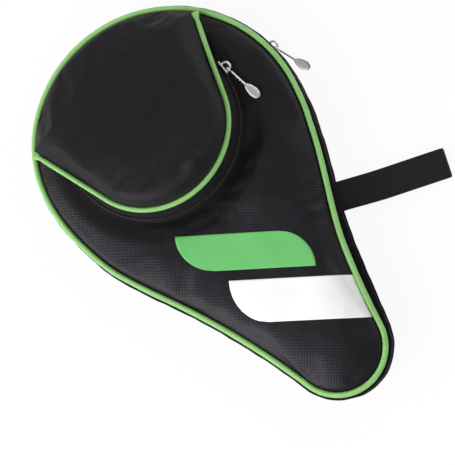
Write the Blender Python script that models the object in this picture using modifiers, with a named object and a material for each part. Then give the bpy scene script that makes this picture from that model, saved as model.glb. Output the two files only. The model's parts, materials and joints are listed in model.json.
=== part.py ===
"""Zipped soft case for one table tennis bat, with a zipped ball pocket on its front.

The case lies on its back. +Z comes out of the front, +Y points from the handle end to the round head,
and the origin is on the floor under the centre of the head. All sizes are in metres.
"""

import math

import bmesh
import bpy
from mathutils import Matrix, Vector

# Outline of the side wall at its widest, seen from the front
HEAD_RADIUS = 0.095
TIP_RADIUS = 0.034
TIP_DISTANCE = 0.170
NECK_RADIUS = 0.520
HEAD_STEPS = 32
FLANK_STEPS = 6
TIP_STEPS = 10

# Heights above the floor
BACK_SEAM = 0.0024
PARTING_HEIGHT = 0.015
FRONT_SEAM = 0.0278
FRONT_HEIGHT = 0.032

# Layers and trim
CLEARANCE = 0.0003
SHELL_THICKNESS = 0.0012
FOAM_THICKNESS = 0.0030
LINING_THICKNESS = 0.0008
WALL_THICKNESS = 0.0024
PIPING_RADIUS = 0.0016
PIPING_INSET = 0.0030
GUSSET_TUCK = 0.0002
GUSSET_BULGE = 0.0005
BINDING_RADIUS = 0.0012
PILLOW_WIDTH = 0.016
BACK_ROUND_WIDTH = 0.006
PILLOW_STEPS = 3

# Main zip
ZIP_GAP = 0.0100
TAPE_THICKNESS = 0.0006
TAPE_OVERLAP = 0.0022
COIL_RADIUS = 0.0010
COIL_GAP = 0.0006
ZIP_CLOSED_ANGLE = math.radians(5.0)
ZIP_START_ANGLE = math.radians(-6.0)
ZIP_END_STATION = 2.92
HINGE_FIRST_GAP = 0.020
HINGE_LAST_GAP = 0.006

# Ball pocket: a cover that turns about a line across the head, between two corners on the corded seam
POCKET_CORNER_ANGLE = math.radians(38.2)
POCKET_FLARE = 0.0133
POCKET_ARC_DEPTH = 0.0401
POCKET_RIM_DRAW = 0.0041
POCKET_RIM_ANGLE = math.radians(13.0)
POCKET_RIM_BASE = 0.0030
POCKET_CROWN_RISE = 0.0125
POCKET_SEAM_RISE = 0.0040
POCKET_BALL_RISE = 0.0250
POCKET_PIPING_RADIUS = 0.0015
POCKET_PIPING_FIRST = 0.08
POCKET_COIL_RADIUS = 0.0008
POCKET_COIL_BASE = 0.0018
POCKET_COIL_ANGLE = math.radians(4.0)
POCKET_COIL_OUTSET = 0.0018
POCKET_BASE_OUTSET = 0.0034
POCKET_GORE_FIRST = 0.34
POCKET_GORE_GAP = 0.012
POCKET_ZIP_FIRST = 0.88
POCKET_SLIDER_ANGLE = math.radians(2.0)
POCKET_PULL_DROOP = math.radians(2.5)
POCKET_PULL_LEAN = math.radians(9.0)

# Slanted colour films on the front: first corner, length and height, rounding of each end
STRIPE_ANGLE = math.radians(-37.7)
GREEN_START = (-0.0337, -0.0483)
GREEN_SIZE = (0.0911, 0.0237)
GREEN_ROUNDS = (0.0260, 0.0240)
WHITE_START = (-0.0252, -0.0933)
WHITE_SIZE = (0.1000, 0.0277)
WHITE_ROUNDS = (0.0248, 0.0)

# Zip slider and its pull
SLIDER_LENGTH = 0.0105
SLIDER_NOSE_WIDTH = 0.0076
SLIDER_TAIL_WIDTH = 0.0062
SLIDER_CORNER = 0.0012
SLIDER_PLATE = 0.0010
SLIDER_PLAY = 0.0007
WEDGE_SETBACK = 0.0009
BAIL_SPACING = 0.0060
BAIL_HEIGHT = 0.0039
BAIL_CORNER = 0.0008
BAIL_WIRE = 0.00075
EYE_WIRE = 0.00065
EYE_PLAY = 0.00035
PULL_LENGTH = 0.0270
PULL_CLEARANCE = 0.0009
STEM_RADIUS = 0.0008
PADDLE_LENGTH = 0.0130
PADDLE_WIDTH = 0.0084
PADDLE_THICKNESS = 0.0016
PADDLE_RIM = 0.0012
PADDLE_RECESS = 0.0004

# Hand strap, a folded loop of webbing on the right flank
STRAP_WIDTH = 0.0195
STRAP_LENGTH = 0.0790
STRAP_THICKNESS = 0.0012
STRAP_LOOP_HEIGHT = 0.0074
STRAP_FALL_SHARE = 0.5
STRAP_STATION = 3.615


def clear_scene():
    """Remove what Blender starts with, so only this object is left."""
    for item in list(bpy.data.objects):
        bpy.data.objects.remove(item, do_unlink=True)
    for mesh in list(bpy.data.meshes):
        bpy.data.meshes.remove(mesh)


clear_scene()
CASE = bpy.data.collections.new("paddle_case")
CUTTERS = bpy.data.collections.new("cutters")
bpy.context.scene.collection.children.link(CASE)
bpy.context.scene.collection.children.link(CUTTERS)


def make_material(name, colour, roughness, metallic=0.0):
    """One finish, as a Principled surface."""
    material = bpy.data.materials.new(name)
    material.use_nodes = True
    shader = material.node_tree.nodes["Principled BSDF"]
    shader.inputs["Base Color"].default_value = (*colour, 1.0)
    shader.inputs["Roughness"].default_value = roughness
    shader.inputs["Metallic"].default_value = metallic
    return material


BLACK_CLOTH = make_material("black_cloth", (0.020, 0.019, 0.023), 0.75)
BLACK_LINING = make_material("black_lining", (0.028, 0.028, 0.030), 0.85)
BLACK_FOAM = make_material("black_foam", (0.035, 0.035, 0.036), 0.95)
BLACK_WEBBING = make_material("black_webbing", (0.015, 0.015, 0.016), 0.80)
BLACK_COIL = make_material("black_coil", (0.022, 0.021, 0.022), 0.45)
GREEN_PIPING = make_material("green_piping", (0.26, 0.48, 0.19), 0.45)
GREEN_FILM = make_material("green_film", (0.15, 0.52, 0.165), 0.55)
WHITE_FILM = make_material("white_film", (0.85, 0.85, 0.85), 0.55)
NICKEL = make_material("nickel", (0.72, 0.71, 0.69), 0.22, 1.0)


def place(name, mesh, material, collection=CASE):
    """An object in the case with one finish."""
    item = bpy.data.objects.new(name, mesh)
    if not mesh.materials:
        mesh.materials.append(material)
    collection.objects.link(item)
    return item


def settled_mesh(item):
    """The mesh of an object with its modifiers or its curve worked out, joints welded."""
    bpy.context.view_layer.update()
    graph = bpy.context.evaluated_depsgraph_get()
    mesh = bpy.data.meshes.new_from_object(item.evaluated_get(graph))
    welded = bmesh.new()
    welded.from_mesh(mesh)
    bmesh.ops.remove_doubles(welded, verts=welded.verts, dist=1e-6)
    bmesh.ops.recalc_face_normals(welded, faces=welded.faces)
    welded.to_mesh(mesh)
    welded.free()
    return mesh


def loft(rings, cyclic, cap_first=False, cap_last=False):
    """An open surface through rings of points, whose outer side is left of each ring."""
    shape = bmesh.new()
    rows = []
    for ring in rings:
        rows.append([shape.verts.new(point) for point in ring])
    for low, high in zip(rows, rows[1:]):
        count = len(low)
        for index in range(count if cyclic else count - 1):
            after = (index + 1) % count
            shape.faces.new((low[index], low[after], high[after], high[index]))
    if cap_first:
        shape.faces.new(list(reversed(rows[0])))
    if cap_last:
        shape.faces.new(rows[-1])
    bmesh.ops.remove_doubles(shape, verts=shape.verts, dist=1e-6)
    mesh = bpy.data.meshes.new("loft")
    shape.to_mesh(mesh)
    shape.free()
    return mesh


def shell(name, mesh, thickness, material):
    """A sheet of cloth or foam: an open surface thickened on its inner side."""
    item = place(name, mesh, material)
    solid = item.modifiers.new("thickness", "SOLIDIFY")
    solid.thickness = thickness
    solid.offset = -1.0
    solid.use_even_offset = True
    return item


def tube(name, points, radius, material, cyclic, sides_level):
    """A round cord or coil swept along a line of points."""
    path = bpy.data.curves.new(name, "CURVE")
    path.dimensions = "3D"
    path.bevel_depth = radius
    path.bevel_resolution = sides_level
    path.use_fill_caps = True
    spline = path.splines.new("POLY")
    spline.points.add(len(points) - 1)
    for knot, point in zip(spline.points, points):
        knot.co = (*point, 1.0)
    spline.use_cyclic_u = cyclic
    draft = bpy.data.objects.new(name, path)
    CASE.objects.link(draft)
    mesh = settled_mesh(draft)
    bpy.data.objects.remove(draft, do_unlink=True)
    return place(name, mesh, material)


def hang_on(pivot_name, location, items):
    """Hang a moving group on an empty that stands on its joint's axis."""
    pivot = bpy.data.objects.new(pivot_name, None)
    pivot.location = location
    CASE.objects.link(pivot)
    bpy.context.view_layer.update()
    for item in items:
        item.parent = pivot
        item.matrix_parent_inverse = pivot.matrix_world.inverted()
    return pivot


def flank_centre():
    """Centre of the right flank's hollow arc, which touches both round ends."""
    to_head = HEAD_RADIUS + NECK_RADIUS
    to_tip = TIP_RADIUS + NECK_RADIUS
    along = (to_tip ** 2 - to_head ** 2 - TIP_DISTANCE ** 2) / (2.0 * TIP_DISTANCE)
    return Vector((math.sqrt(to_head ** 2 - along ** 2), along))


FLANK = flank_centre()
HEAD_END = math.atan2(FLANK.y, FLANK.x)
TIP_END = math.atan2(FLANK.y + TIP_DISTANCE, FLANK.x)

# The four arcs of the outline, anticlockwise: centre, radius, what an inset adds, first and last angle
ARCS = (
    (Vector((0.0, 0.0)), HEAD_RADIUS, -1.0, HEAD_END, math.pi - HEAD_END),
    (Vector((-FLANK.x, FLANK.y)), NECK_RADIUS, 1.0, -HEAD_END, -TIP_END),
    (Vector((0.0, -TIP_DISTANCE)), TIP_RADIUS, -1.0, math.pi - TIP_END, 2.0 * math.pi + TIP_END),
    (FLANK, NECK_RADIUS, 1.0, math.pi + TIP_END, math.pi + HEAD_END),
)
ARC_STEPS = (HEAD_STEPS, FLANK_STEPS, TIP_STEPS, FLANK_STEPS)


def head_station(angle):
    """Place on the outline of a direction from the head's centre."""
    return (angle - HEAD_END) / (math.pi - 2.0 * HEAD_END)


def outline_point(station, inset, height):
    """A point of the outline: head, left flank, tip and right flank take one unit each."""
    turn = station % 4.0
    centre, radius, grow, first, last = ARCS[int(turn)]
    angle = first + (last - first) * (turn - int(turn))
    reach = radius + grow * inset
    return Vector((centre.x + reach * math.cos(angle), centre.y + reach * math.sin(angle), height))


def outline_normal(station):
    """Outward direction of the side wall."""
    return (outline_point(station, 0.0, 0.0) - outline_point(station, 0.001, 0.0)).normalized()


def all_stations():
    """Evenly spread places round the whole outline."""
    places = []
    for arc, steps in enumerate(ARC_STEPS):
        places += [arc + step / steps for step in range(steps)]
    return places


def stations_between(first, last):
    """The same places between two stations, with both ends added."""
    inside = [lap + place_ for lap in (0.0, 4.0) for place_ in all_stations()]
    inside = [value for value in inside if first + 0.01 < value < last - 0.01]
    return [first] + inside + [last]


def ring(stations, inset, height):
    """One line of points along the outline."""
    return [outline_point(station, inset, height) for station in stations]


RIM_INSET = PIPING_INSET + PIPING_RADIUS + CLEARANCE
LAYER_SLOPE = 1.08


def pillow_profile(seam, rise, width, depth):
    """Insets and heights from a panel's seam to its flat middle; inner layers start past the seam."""
    first = 0.0 if depth == 0.0 else 0.25 * math.pi
    sink = math.copysign(LAYER_SLOPE * depth, rise)
    profile = []
    for step in range(PILLOW_STEPS + 1):
        angle = first + (0.5 * math.pi - first) * step / PILLOW_STEPS
        inset = RIM_INSET + width * (1.0 - math.cos(angle))
        profile.append((inset, seam + rise * math.sin(angle) - sink))
    return profile


def make_panel(name, seam, rise, width, depth, thickness, material):
    """One layer of the front or back, from its seam over the pillowed edge to the flat middle."""
    rings = [ring(all_stations(), inset, height)
             for inset, height in pillow_profile(seam, rise, width, depth)]
    if rise > 0.0:
        return shell(name, loft(rings, True, cap_last=True), thickness, material)
    rings.reverse()
    return shell(name, loft(rings, True, cap_first=True), thickness, material)


FOAM_DEPTH = SHELL_THICKNESS + CLEARANCE
LINING_DEPTH = FOAM_DEPTH + FOAM_THICKNESS + CLEARANCE
BACK_WALL = (BACK_SEAM + PIPING_RADIUS + CLEARANCE, PARTING_HEIGHT - 0.5 * ZIP_GAP)
FRONT_WALL = (FRONT_SEAM - PIPING_RADIUS - CLEARANCE, PARTING_HEIGHT + 0.5 * ZIP_GAP)
GUSSET_EDGE = PIPING_INSET - GUSSET_TUCK
TAPE_REACH = 0.5 * ZIP_GAP + TAPE_OVERLAP


def wall_profile(wall):
    """Insets and heights of a side wall's outer face, from its corded seam to the zip."""
    seam_edge, zip_edge = wall
    return ((GUSSET_EDGE, seam_edge), (GUSSET_BULGE, 0.5 * (seam_edge + zip_edge)), (0.0, zip_edge))


def wall_inner(wall, height):
    """How far in a side wall's inner face reaches at a height."""
    reaches = []
    profile = wall_profile(wall)
    for (low, low_height), (high, high_height) in zip(profile, profile[1:]):
        lean = (high - low) / (high_height - low_height)
        reaches.append(low + lean * (height - low_height) + WALL_THICKNESS * math.hypot(1.0, lean))
    return max(reaches)


def make_binding(name, seam, rise, width):
    """Tape that covers the raw edge of the lining, as a cord laid along that edge on the inside."""
    inset, height = pillow_profile(seam, rise, width, LINING_DEPTH + LINING_THICKNESS)[0]
    inward = math.copysign(BINDING_RADIUS + CLEARANCE, rise)
    line = ring(all_stations(), inset - 0.5 * BINDING_RADIUS, height - inward)
    return tube(name, line, BINDING_RADIUS, BLACK_WEBBING, True, 0)


def make_back_half():
    """Back panel with its padding and lining, side wall, corded seam and seam binding."""
    rise = -BACK_SEAM
    width = BACK_ROUND_WIDTH
    items = [
        make_panel("back_panel", BACK_SEAM, rise, width, 0.0, SHELL_THICKNESS, BLACK_CLOTH),
        make_panel("back_foam", BACK_SEAM, rise, width, FOAM_DEPTH, FOAM_THICKNESS, BLACK_FOAM),
        make_panel("back_lining", BACK_SEAM, rise, width, LINING_DEPTH, LINING_THICKNESS, BLACK_LINING),
    ]
    rings = [ring(all_stations(), inset, height) for inset, height in wall_profile(BACK_WALL)]
    items.append(shell("back_gusset", loft(rings, True), WALL_THICKNESS, BLACK_CLOTH))
    seam = ring(all_stations(), PIPING_INSET, BACK_SEAM)
    items.append(tube("back_piping", seam, PIPING_RADIUS, BLACK_CLOTH, True, 1))
    items.append(make_binding("back_binding", BACK_SEAM, rise, width))
    return items


def make_front_half():
    """Front panel with its padding and lining, side wall, green corded seam and seam binding."""
    rise = FRONT_HEIGHT - FRONT_SEAM
    width = PILLOW_WIDTH
    items = [
        make_panel("front_panel", FRONT_SEAM, rise, width, 0.0, SHELL_THICKNESS, BLACK_CLOTH),
        make_panel("front_foam", FRONT_SEAM, rise, width, FOAM_DEPTH, FOAM_THICKNESS, BLACK_FOAM),
        make_panel("front_lining", FRONT_SEAM, rise, width, LINING_DEPTH, LINING_THICKNESS, BLACK_LINING),
    ]
    rings = [ring(all_stations(), inset, height) for inset, height in reversed(wall_profile(FRONT_WALL))]
    items.append(shell("front_gusset", loft(rings, True), WALL_THICKNESS, BLACK_CLOTH))
    seam = ring(all_stations(), PIPING_INSET, FRONT_SEAM)
    items.append(tube("front_piping", seam, PIPING_RADIUS, GREEN_PIPING, True, 1))
    items.append(make_binding("front_binding", FRONT_SEAM, rise, width))
    return items


TAPE_INSET = CLEARANCE + max(wall_inner(BACK_WALL, PARTING_HEIGHT - TAPE_REACH),
                             wall_inner(FRONT_WALL, PARTING_HEIGHT + TAPE_REACH))
COIL_INSET = TAPE_INSET + 0.5 * TAPE_THICKNESS
COIL_OFFSET = COIL_RADIUS + COIL_GAP
TAPE_EDGE = COIL_OFFSET + COIL_RADIUS + CLEARANCE


def make_main_zip():
    """The two tapes and the two coils of the main zip, and the cloth hinge that takes over from it."""
    zip_first = head_station(ZIP_START_ANGLE)
    places = stations_between(zip_first, ZIP_END_STATION)
    made = {}
    for half, side in (("back", -1.0), ("front", 1.0)):
        heights = sorted((PARTING_HEIGHT + side * TAPE_EDGE, PARTING_HEIGHT + side * TAPE_REACH))
        tape = loft([ring(places, TAPE_INSET, height) for height in heights], False)
        coil = ring(places, COIL_INSET, PARTING_HEIGHT + side * COIL_OFFSET)
        made[half] = [
            shell("zip_tape_" + half, tape, TAPE_THICKNESS, BLACK_WEBBING),
            tube("zip_coil_" + half, coil, COIL_RADIUS, BLACK_COIL, False, 1),
        ]
    hinge_last = 4.0 + zip_first - HINGE_LAST_GAP
    hinge_places = stations_between(ZIP_END_STATION + HINGE_FIRST_GAP, hinge_last)
    heights = (PARTING_HEIGHT - TAPE_REACH, PARTING_HEIGHT, PARTING_HEIGHT + TAPE_REACH)
    cloth = loft([ring(hinge_places, TAPE_INSET, height) for height in heights], False)
    made["back"].append(shell("hinge_strip", cloth, LINING_THICKNESS, BLACK_CLOTH))
    return made


POCKET_HINGE_Z = FRONT_HEIGHT + CLEARANCE
POCKET_HINGE_Y = (HEAD_RADIUS - RIM_INSET) * math.sin(POCKET_CORNER_ANGLE)
POCKET_HALF_WIDTH = (HEAD_RADIUS - RIM_INSET) * math.cos(POCKET_CORNER_ANGLE)
POCKET_ARC_RADIUS = POCKET_HALF_WIDTH - POCKET_FLARE
POCKET_DEPTH = POCKET_ARC_DEPTH + POCKET_ARC_RADIUS
POCKET_COIL_OFFSET = POCKET_COIL_RADIUS + COIL_GAP
POCKET_FLARE_RADIUS = (POCKET_FLARE ** 2 + POCKET_ARC_DEPTH ** 2) / (2.0 * POCKET_FLARE)
POCKET_RIM_RADIUS = POCKET_ARC_RADIUS - POCKET_RIM_DRAW
POCKET_RIM_DEPTH = POCKET_ARC_DEPTH + POCKET_RIM_DRAW
POCKET_CORNER_REACH = math.hypot(POCKET_HALF_WIDTH, POCKET_RIM_DEPTH)
POCKET_ARM_ANGLE = (math.acos(POCKET_RIM_RADIUS / POCKET_CORNER_REACH)
                    - math.atan2(POCKET_RIM_DEPTH, POCKET_HALF_WIDTH))


def pocket_outline(share, outset=0.0):
    """Half width and distance from the hinge line of the zip's wall, from right (0) to left (3)."""
    if share > 2.0:
        across, depth = pocket_outline(3.0 - share, outset)
        return -across, depth
    if share > 1.0:
        angle = math.pi * (share - 1.0)
        reach = POCKET_ARC_RADIUS + outset
        return reach * math.cos(angle), POCKET_ARC_DEPTH + reach * math.sin(angle)
    centre = POCKET_ARC_RADIUS + POCKET_FLARE_RADIUS
    first = math.pi + math.atan2(POCKET_ARC_DEPTH, centre - POCKET_HALF_WIDTH)
    angle = first + (math.pi - first) * share
    reach = POCKET_FLARE_RADIUS - outset
    return centre + reach * math.cos(angle), POCKET_ARC_DEPTH + reach * math.sin(angle)


def rim_outline(share, outset=0.0):
    """The same for the cover's corded edge: straight arms from the corners that run on into an arc."""
    across, depth = pocket_outline(share)
    angle = math.atan2(depth - POCKET_RIM_DEPTH, across)
    beside = math.atan2(depth - POCKET_RIM_DEPTH, abs(across))
    reach = (POCKET_RIM_RADIUS + outset) / math.cos(max(0.0, POCKET_ARM_ANGLE - beside))
    return reach * math.cos(angle), POCKET_RIM_DEPTH + reach * math.sin(angle)


def pocket_point(across, depth, lift):
    """A point of the pocket, raised by turning about the hinge line."""
    level = math.sqrt(max(depth ** 2 - lift ** 2, 0.0))
    return Vector((across, POCKET_HINGE_Y - math.copysign(level, depth), POCKET_HINGE_Z + lift))


def rim_lift(depth):
    """Height of the cover's edge above the front: steep beside the corners, then a steady slope."""
    steep = math.sin(0.5 * math.pi * min(1.0, depth / POCKET_ARC_DEPTH))
    return depth * math.sin(POCKET_RIM_ANGLE) + POCKET_RIM_BASE * steep


def coil_lift(depth):
    """Height of the pocket zip's meeting line above the front."""
    return POCKET_COIL_BASE + depth * math.sin(POCKET_COIL_ANGLE)


def pocket_shares(first, last):
    """Places along the cover's edge, closer together round the bottom."""
    spread = [step / 5.0 for step in range(6)]
    spread += [1.0 + step / 16.0 for step in range(1, 17)]
    spread += [2.0 + step / 5.0 for step in range(1, 6)]
    inside = [value for value in spread if first + 0.02 < value < last - 0.02]
    return [first] + inside + [last]


def pocket_line(first, last, outline, outset, lift_of, proud=0.0):
    """A line along the pocket's wall, from left to right so that its outer side is outward.

    The wall leans out towards its foot, less and less towards the cover's corners.
    """
    points = []
    for share in reversed(pocket_shares(first, last)):
        lean = outset * min(1.0, pocket_outline(share)[1] / POCKET_ARC_DEPTH)
        across, depth = outline(share, lean + proud)
        points.append(pocket_point(across, depth, max(lift_of(depth), 0.0)))
    return points


def cover_profile(share):
    """Rise of the taut cloth over the balls, from the hinge line (0) to the cover's edge (1)."""
    knots = ((0.0, POCKET_CROWN_RISE), (0.5, 0.92 * POCKET_BALL_RISE), (0.72, POCKET_BALL_RISE),
             (0.88, 0.72 * POCKET_BALL_RISE), (0.95, 0.40 * POCKET_BALL_RISE), (1.0, 0.0))
    for (low, low_rise), (high, high_rise) in zip(knots, knots[1:]):
        if share <= high:
            return low_rise + (high_rise - low_rise) * (share - low) / (high - low)
    return 0.0


def crown_profile(share):
    """Rise of the cloth along the hinge line, from the middle (0) to the corner (1)."""
    return POCKET_CROWN_RISE * (1.0 - share ** 2)


COVER_SHARES = (1.0, 0.95, 0.88, 0.72, 0.5, 0.25, 0.0)


def make_pocket_cover():
    """The part of the pocket's cloth that lifts with the zip: a dome over the balls."""
    edge = POCKET_PIPING_RADIUS + 2.0 * CLEARANCE
    rings = []
    for share in COVER_SHARES:
        points = []
        for place_ in reversed(pocket_shares(0.0, 3.0)):
            across, depth = rim_outline(place_, -edge)
            pull_in = depth / POCKET_DEPTH
            rise = cover_profile(share) * pull_in + crown_profile(share) * (1.0 - pull_in)
            ground = max(depth, 0.0) * share
            base = pocket_point(across * share, ground, rim_lift(ground))
            points.append(base + Vector((0.0, -0.5 * CLEARANCE, rise)))
        rings.append(points)
    return shell("pocket_cover", loft(rings, False), SHELL_THICKNESS, BLACK_CLOTH)


def make_pocket_crown():
    """The part of the pocket's cloth that stays sewn down round the top of the head."""
    reach = HEAD_RADIUS - RIM_INSET - 2.0 * CLEARANCE
    corner = math.asin(POCKET_HINGE_Y / reach)
    steps = 16
    top = reach - POCKET_HINGE_Y
    rings = []
    for share in COVER_SHARES:
        points = []
        for step in range(steps + 1):
            angle = corner + (math.pi - 2.0 * corner) * step / steps
            across = reach * math.cos(angle)
            beyond = reach * math.sin(angle) - POCKET_HINGE_Y
            pull_in = beyond / top
            sewn = FRONT_SEAM + POCKET_SEAM_RISE - POCKET_HINGE_Z
            taut = POCKET_CROWN_RISE + (sewn - POCKET_CROWN_RISE) * share
            rise = taut * pull_in + crown_profile(share) * (1.0 - pull_in)
            points.append(Vector((across * share, POCKET_HINGE_Y + 3.0 * CLEARANCE + beyond * share,
                                  POCKET_HINGE_Z + rise)))
        rings.append(points)
    return shell("pocket_crown", loft(rings, False), SHELL_THICKNESS, BLACK_CLOTH)


def make_pocket_wall():
    """Zip tapes, coils, corded edge and the two cloth gores beside the zip."""
    first = POCKET_ZIP_FIRST
    last = 3.0 - first
    under = POCKET_PIPING_RADIUS + CLEARANCE
    side = POCKET_COIL_OFFSET + POCKET_COIL_RADIUS + CLEARANCE
    half = 0.5 * TAPE_THICKNESS

    def foot(depth):
        """The wall's lower edge, on the front; the leaning strip's inner edge hangs lower than its outer."""
        return half

    def below_coil(depth):
        """The lower tape's edge under the coils."""
        return coil_lift(depth) - side

    def above_coil(depth):
        """The upper tape's edge over the coils, which also hangs lower on its inner side."""
        return coil_lift(depth) + side + CLEARANCE

    def below_rim(depth):
        """The wall's upper edge, under the corded edge."""
        return rim_lift(depth) - under

    def wall(name, begin, end, low, high, material):
        """A strip of the wall between two edges, each an outline, an outset and a height."""
        lines = [pocket_line(begin, end, *edge, half) for edge in (low, high)]
        return shell(name, loft(lines, False), TAPE_THICKNESS, material)

    def coil(name, offset):
        """One coil of the zip, on the edge of its tape."""
        lift_of = lambda depth: coil_lift(depth) + offset
        line = pocket_line(first, last, pocket_outline, POCKET_COIL_OUTSET, lift_of)
        return tube(name, line, POCKET_COIL_RADIUS, BLACK_COIL, False, 1)

    at_foot = (pocket_outline, POCKET_BASE_OUTSET, foot)
    at_lower = (pocket_outline, POCKET_COIL_OUTSET, below_coil)
    at_upper = (pocket_outline, POCKET_COIL_OUTSET, above_coil)
    at_rim = (rim_outline, 0.0, below_rim)
    right = (POCKET_GORE_FIRST, first - POCKET_GORE_GAP)
    left = (last + POCKET_GORE_GAP, 3.0 - POCKET_GORE_FIRST)
    fixed = [
        wall("pocket_tape_lower", first, last, at_foot, at_lower, BLACK_WEBBING),
        coil("pocket_coil_lower", -POCKET_COIL_OFFSET),
        wall("pocket_gore_right", *right, at_foot, at_rim, BLACK_CLOTH),
        wall("pocket_gore_left", *left, at_foot, at_rim, BLACK_CLOTH),
    ]
    edge = pocket_line(POCKET_PIPING_FIRST, 3.0 - POCKET_PIPING_FIRST, rim_outline, 0.0, rim_lift)
    lifting = [
        wall("pocket_tape_upper", first, last, at_upper, at_rim, BLACK_WEBBING),
        coil("pocket_coil_upper", POCKET_COIL_OFFSET),
        tube("pocket_piping", edge, POCKET_PIPING_RADIUS, GREEN_PIPING, False, 1),
    ]
    return fixed, lifting


def inset_at(x, y):
    """How far inside the outline a point of the front is."""
    across = abs(x)
    if math.atan2(y, across) > HEAD_END:
        return HEAD_RADIUS - math.hypot(across, y)
    if math.atan2(y + TIP_DISTANCE, across) < TIP_END:
        return TIP_RADIUS - math.hypot(across, y + TIP_DISTANCE)
    return math.hypot(across - FLANK.x, y - FLANK.y) - NECK_RADIUS


def front_height_at(x, y):
    """Height of the front panel's outer face."""
    profile = pillow_profile(FRONT_SEAM, FRONT_HEIGHT - FRONT_SEAM, PILLOW_WIDTH, 0.0)
    inset = inset_at(x, y)
    if inset >= profile[-1][0]:
        return FRONT_HEIGHT
    for (low, low_height), (high, high_height) in zip(profile, profile[1:]):
        if inset <= high:
            return low_height + (high_height - low_height) * max(inset - low, 0.0) / (high - low)
    return FRONT_HEIGHT


def make_stripe(name, start, size, rounds, material):
    """A slanted colour film on the front, rounded at its lower left and upper right ends."""
    along = Vector((math.cos(STRIPE_ANGLE), math.sin(STRIPE_ANGLE)))
    down = Vector((along.y, -along.x))
    length, height = size
    left_round, right_round = rounds
    rows = 8
    columns = 13
    rings = []
    for row in range(rows):
        share = 1.0 - row / (rows - 1)
        edge = Vector(start) + down * height * share
        left = edge + along * left_round * (1.0 - math.sqrt(1.0 - share ** 2))
        right = edge + along * (length - right_round * (1.0 - math.sqrt(1.0 - (1.0 - share) ** 2)))
        while inset_at(right.x, right.y) < RIM_INSET + 2.0 * CLEARANCE:
            right = right - along * 0.0002
        points = []
        for column in range(columns):
            spot = left.lerp(right, 1.0 - (1.0 - column / (columns - 1)) ** 1.6)
            points.append((spot.x, spot.y, front_height_at(spot.x, spot.y) + 3.0 * CLEARANCE))
        rings.append(points)
    return shell(name, loft(rings, False), CLEARANCE, material)


def flat_outline(points, half_thickness):
    """A filled flat outline with thickness, as a mesh."""
    sheet = bpy.data.curves.new("outline", "CURVE")
    sheet.dimensions = "2D"
    sheet.fill_mode = "BOTH"
    sheet.extrude = half_thickness
    spline = sheet.splines.new("POLY")
    spline.points.add(len(points) - 1)
    for knot, (x, y) in zip(spline.points, points):
        knot.co = (x, y, 0.0, 1.0)
    spline.use_cyclic_u = True
    draft = bpy.data.objects.new("outline", sheet)
    CUTTERS.objects.link(draft)
    mesh = settled_mesh(draft)
    bpy.data.objects.remove(draft, do_unlink=True)
    return mesh


def joined(base, additions, operation="UNION"):
    """Join shapes into one body, or cut them out of it, and return the worked-out mesh."""
    body = bpy.data.objects.new("body", base)
    CUTTERS.objects.link(body)
    tools = []
    for mesh, matrix in additions:
        tool = bpy.data.objects.new("tool", mesh)
        tool.matrix_world = matrix
        tool.display_type = "WIRE"
        tool.hide_render = True
        CUTTERS.objects.link(tool)
        step = body.modifiers.new("join", "BOOLEAN")
        step.operation = operation
        step.solver = "EXACT"
        step.object = tool
        tools.append(tool)
    mesh = settled_mesh(body)
    for item in [body] + tools:
        bpy.data.objects.remove(item, do_unlink=True)
    return mesh


def rod_mesh(points, radius, sides_level):
    """A bare rod along a line, as a mesh."""
    item = tube("rod", points, radius, NICKEL, False, sides_level)
    mesh = item.data
    bpy.data.objects.remove(item, do_unlink=True)
    return mesh


SLIDER_CHANNEL = COIL_RADIUS + SLIDER_PLAY
PLATE_TOP = SLIDER_CHANNEL + SLIDER_PLATE
BAIL_LEG = 0.5 * BAIL_SPACING
EYE_LEVEL = PLATE_TOP + 0.5 * (BAIL_HEIGHT - BAIL_WIRE)
EYE_RADIUS = BAIL_WIRE + EYE_WIRE + EYE_PLAY


def slider_mesh():
    """Two plates joined by the wedge between the coils, with an arched bail on the outer plate.

    X runs to the nose, Y across the zip and Z outward from the coils.
    """
    tail = -0.5 * SLIDER_LENGTH
    nose = 0.5 * SLIDER_LENGTH
    narrow = 0.5 * SLIDER_TAIL_WIDTH
    wide = 0.5 * SLIDER_NOSE_WIDTH
    corner = SLIDER_CORNER
    half = [(tail, narrow - corner), (tail + 0.4 * corner, narrow - 0.3 * corner), (tail + corner, narrow),
            (0.1 * nose, narrow + 0.1 * corner), (0.45 * nose, wide - 0.1 * corner), (nose - corner, wide),
            (nose - 0.3 * corner, wide - 0.3 * corner), (nose, wide - corner)]
    outline = [(x, -y) for x, y in half] + [(x, y) for x, y in reversed(half)]
    plate = flat_outline(outline, 0.5 * SLIDER_PLATE)
    inner = flat_outline(outline, 0.5 * SLIDER_PLATE)
    middle = SLIDER_CHANNEL + 0.5 * SLIDER_PLATE
    plate.transform(Matrix.Translation((0.0, 0.0, middle)))
    front = nose - WEDGE_SETBACK
    wedge = rod_mesh([(front, 0.0, -middle), (front, 0.0, middle)], 0.75 * COIL_GAP, 2)
    bar = PLATE_TOP + BAIL_HEIGHT
    shoulder = bar - BAIL_CORNER
    inside = BAIL_LEG - BAIL_CORNER
    bail = [(-BAIL_LEG, 0.0, middle), (-BAIL_LEG, 0.0, shoulder), (-inside, 0.0, bar),
            (inside, 0.0, bar), (BAIL_LEG, 0.0, shoulder), (BAIL_LEG, 0.0, middle)]
    arch = rod_mesh(bail, BAIL_WIRE, 2)
    still = Matrix.Identity(4)
    return joined(plate, [(inner, Matrix.Translation((0.0, 0.0, -middle))), (wedge, still), (arch, still)])


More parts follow.
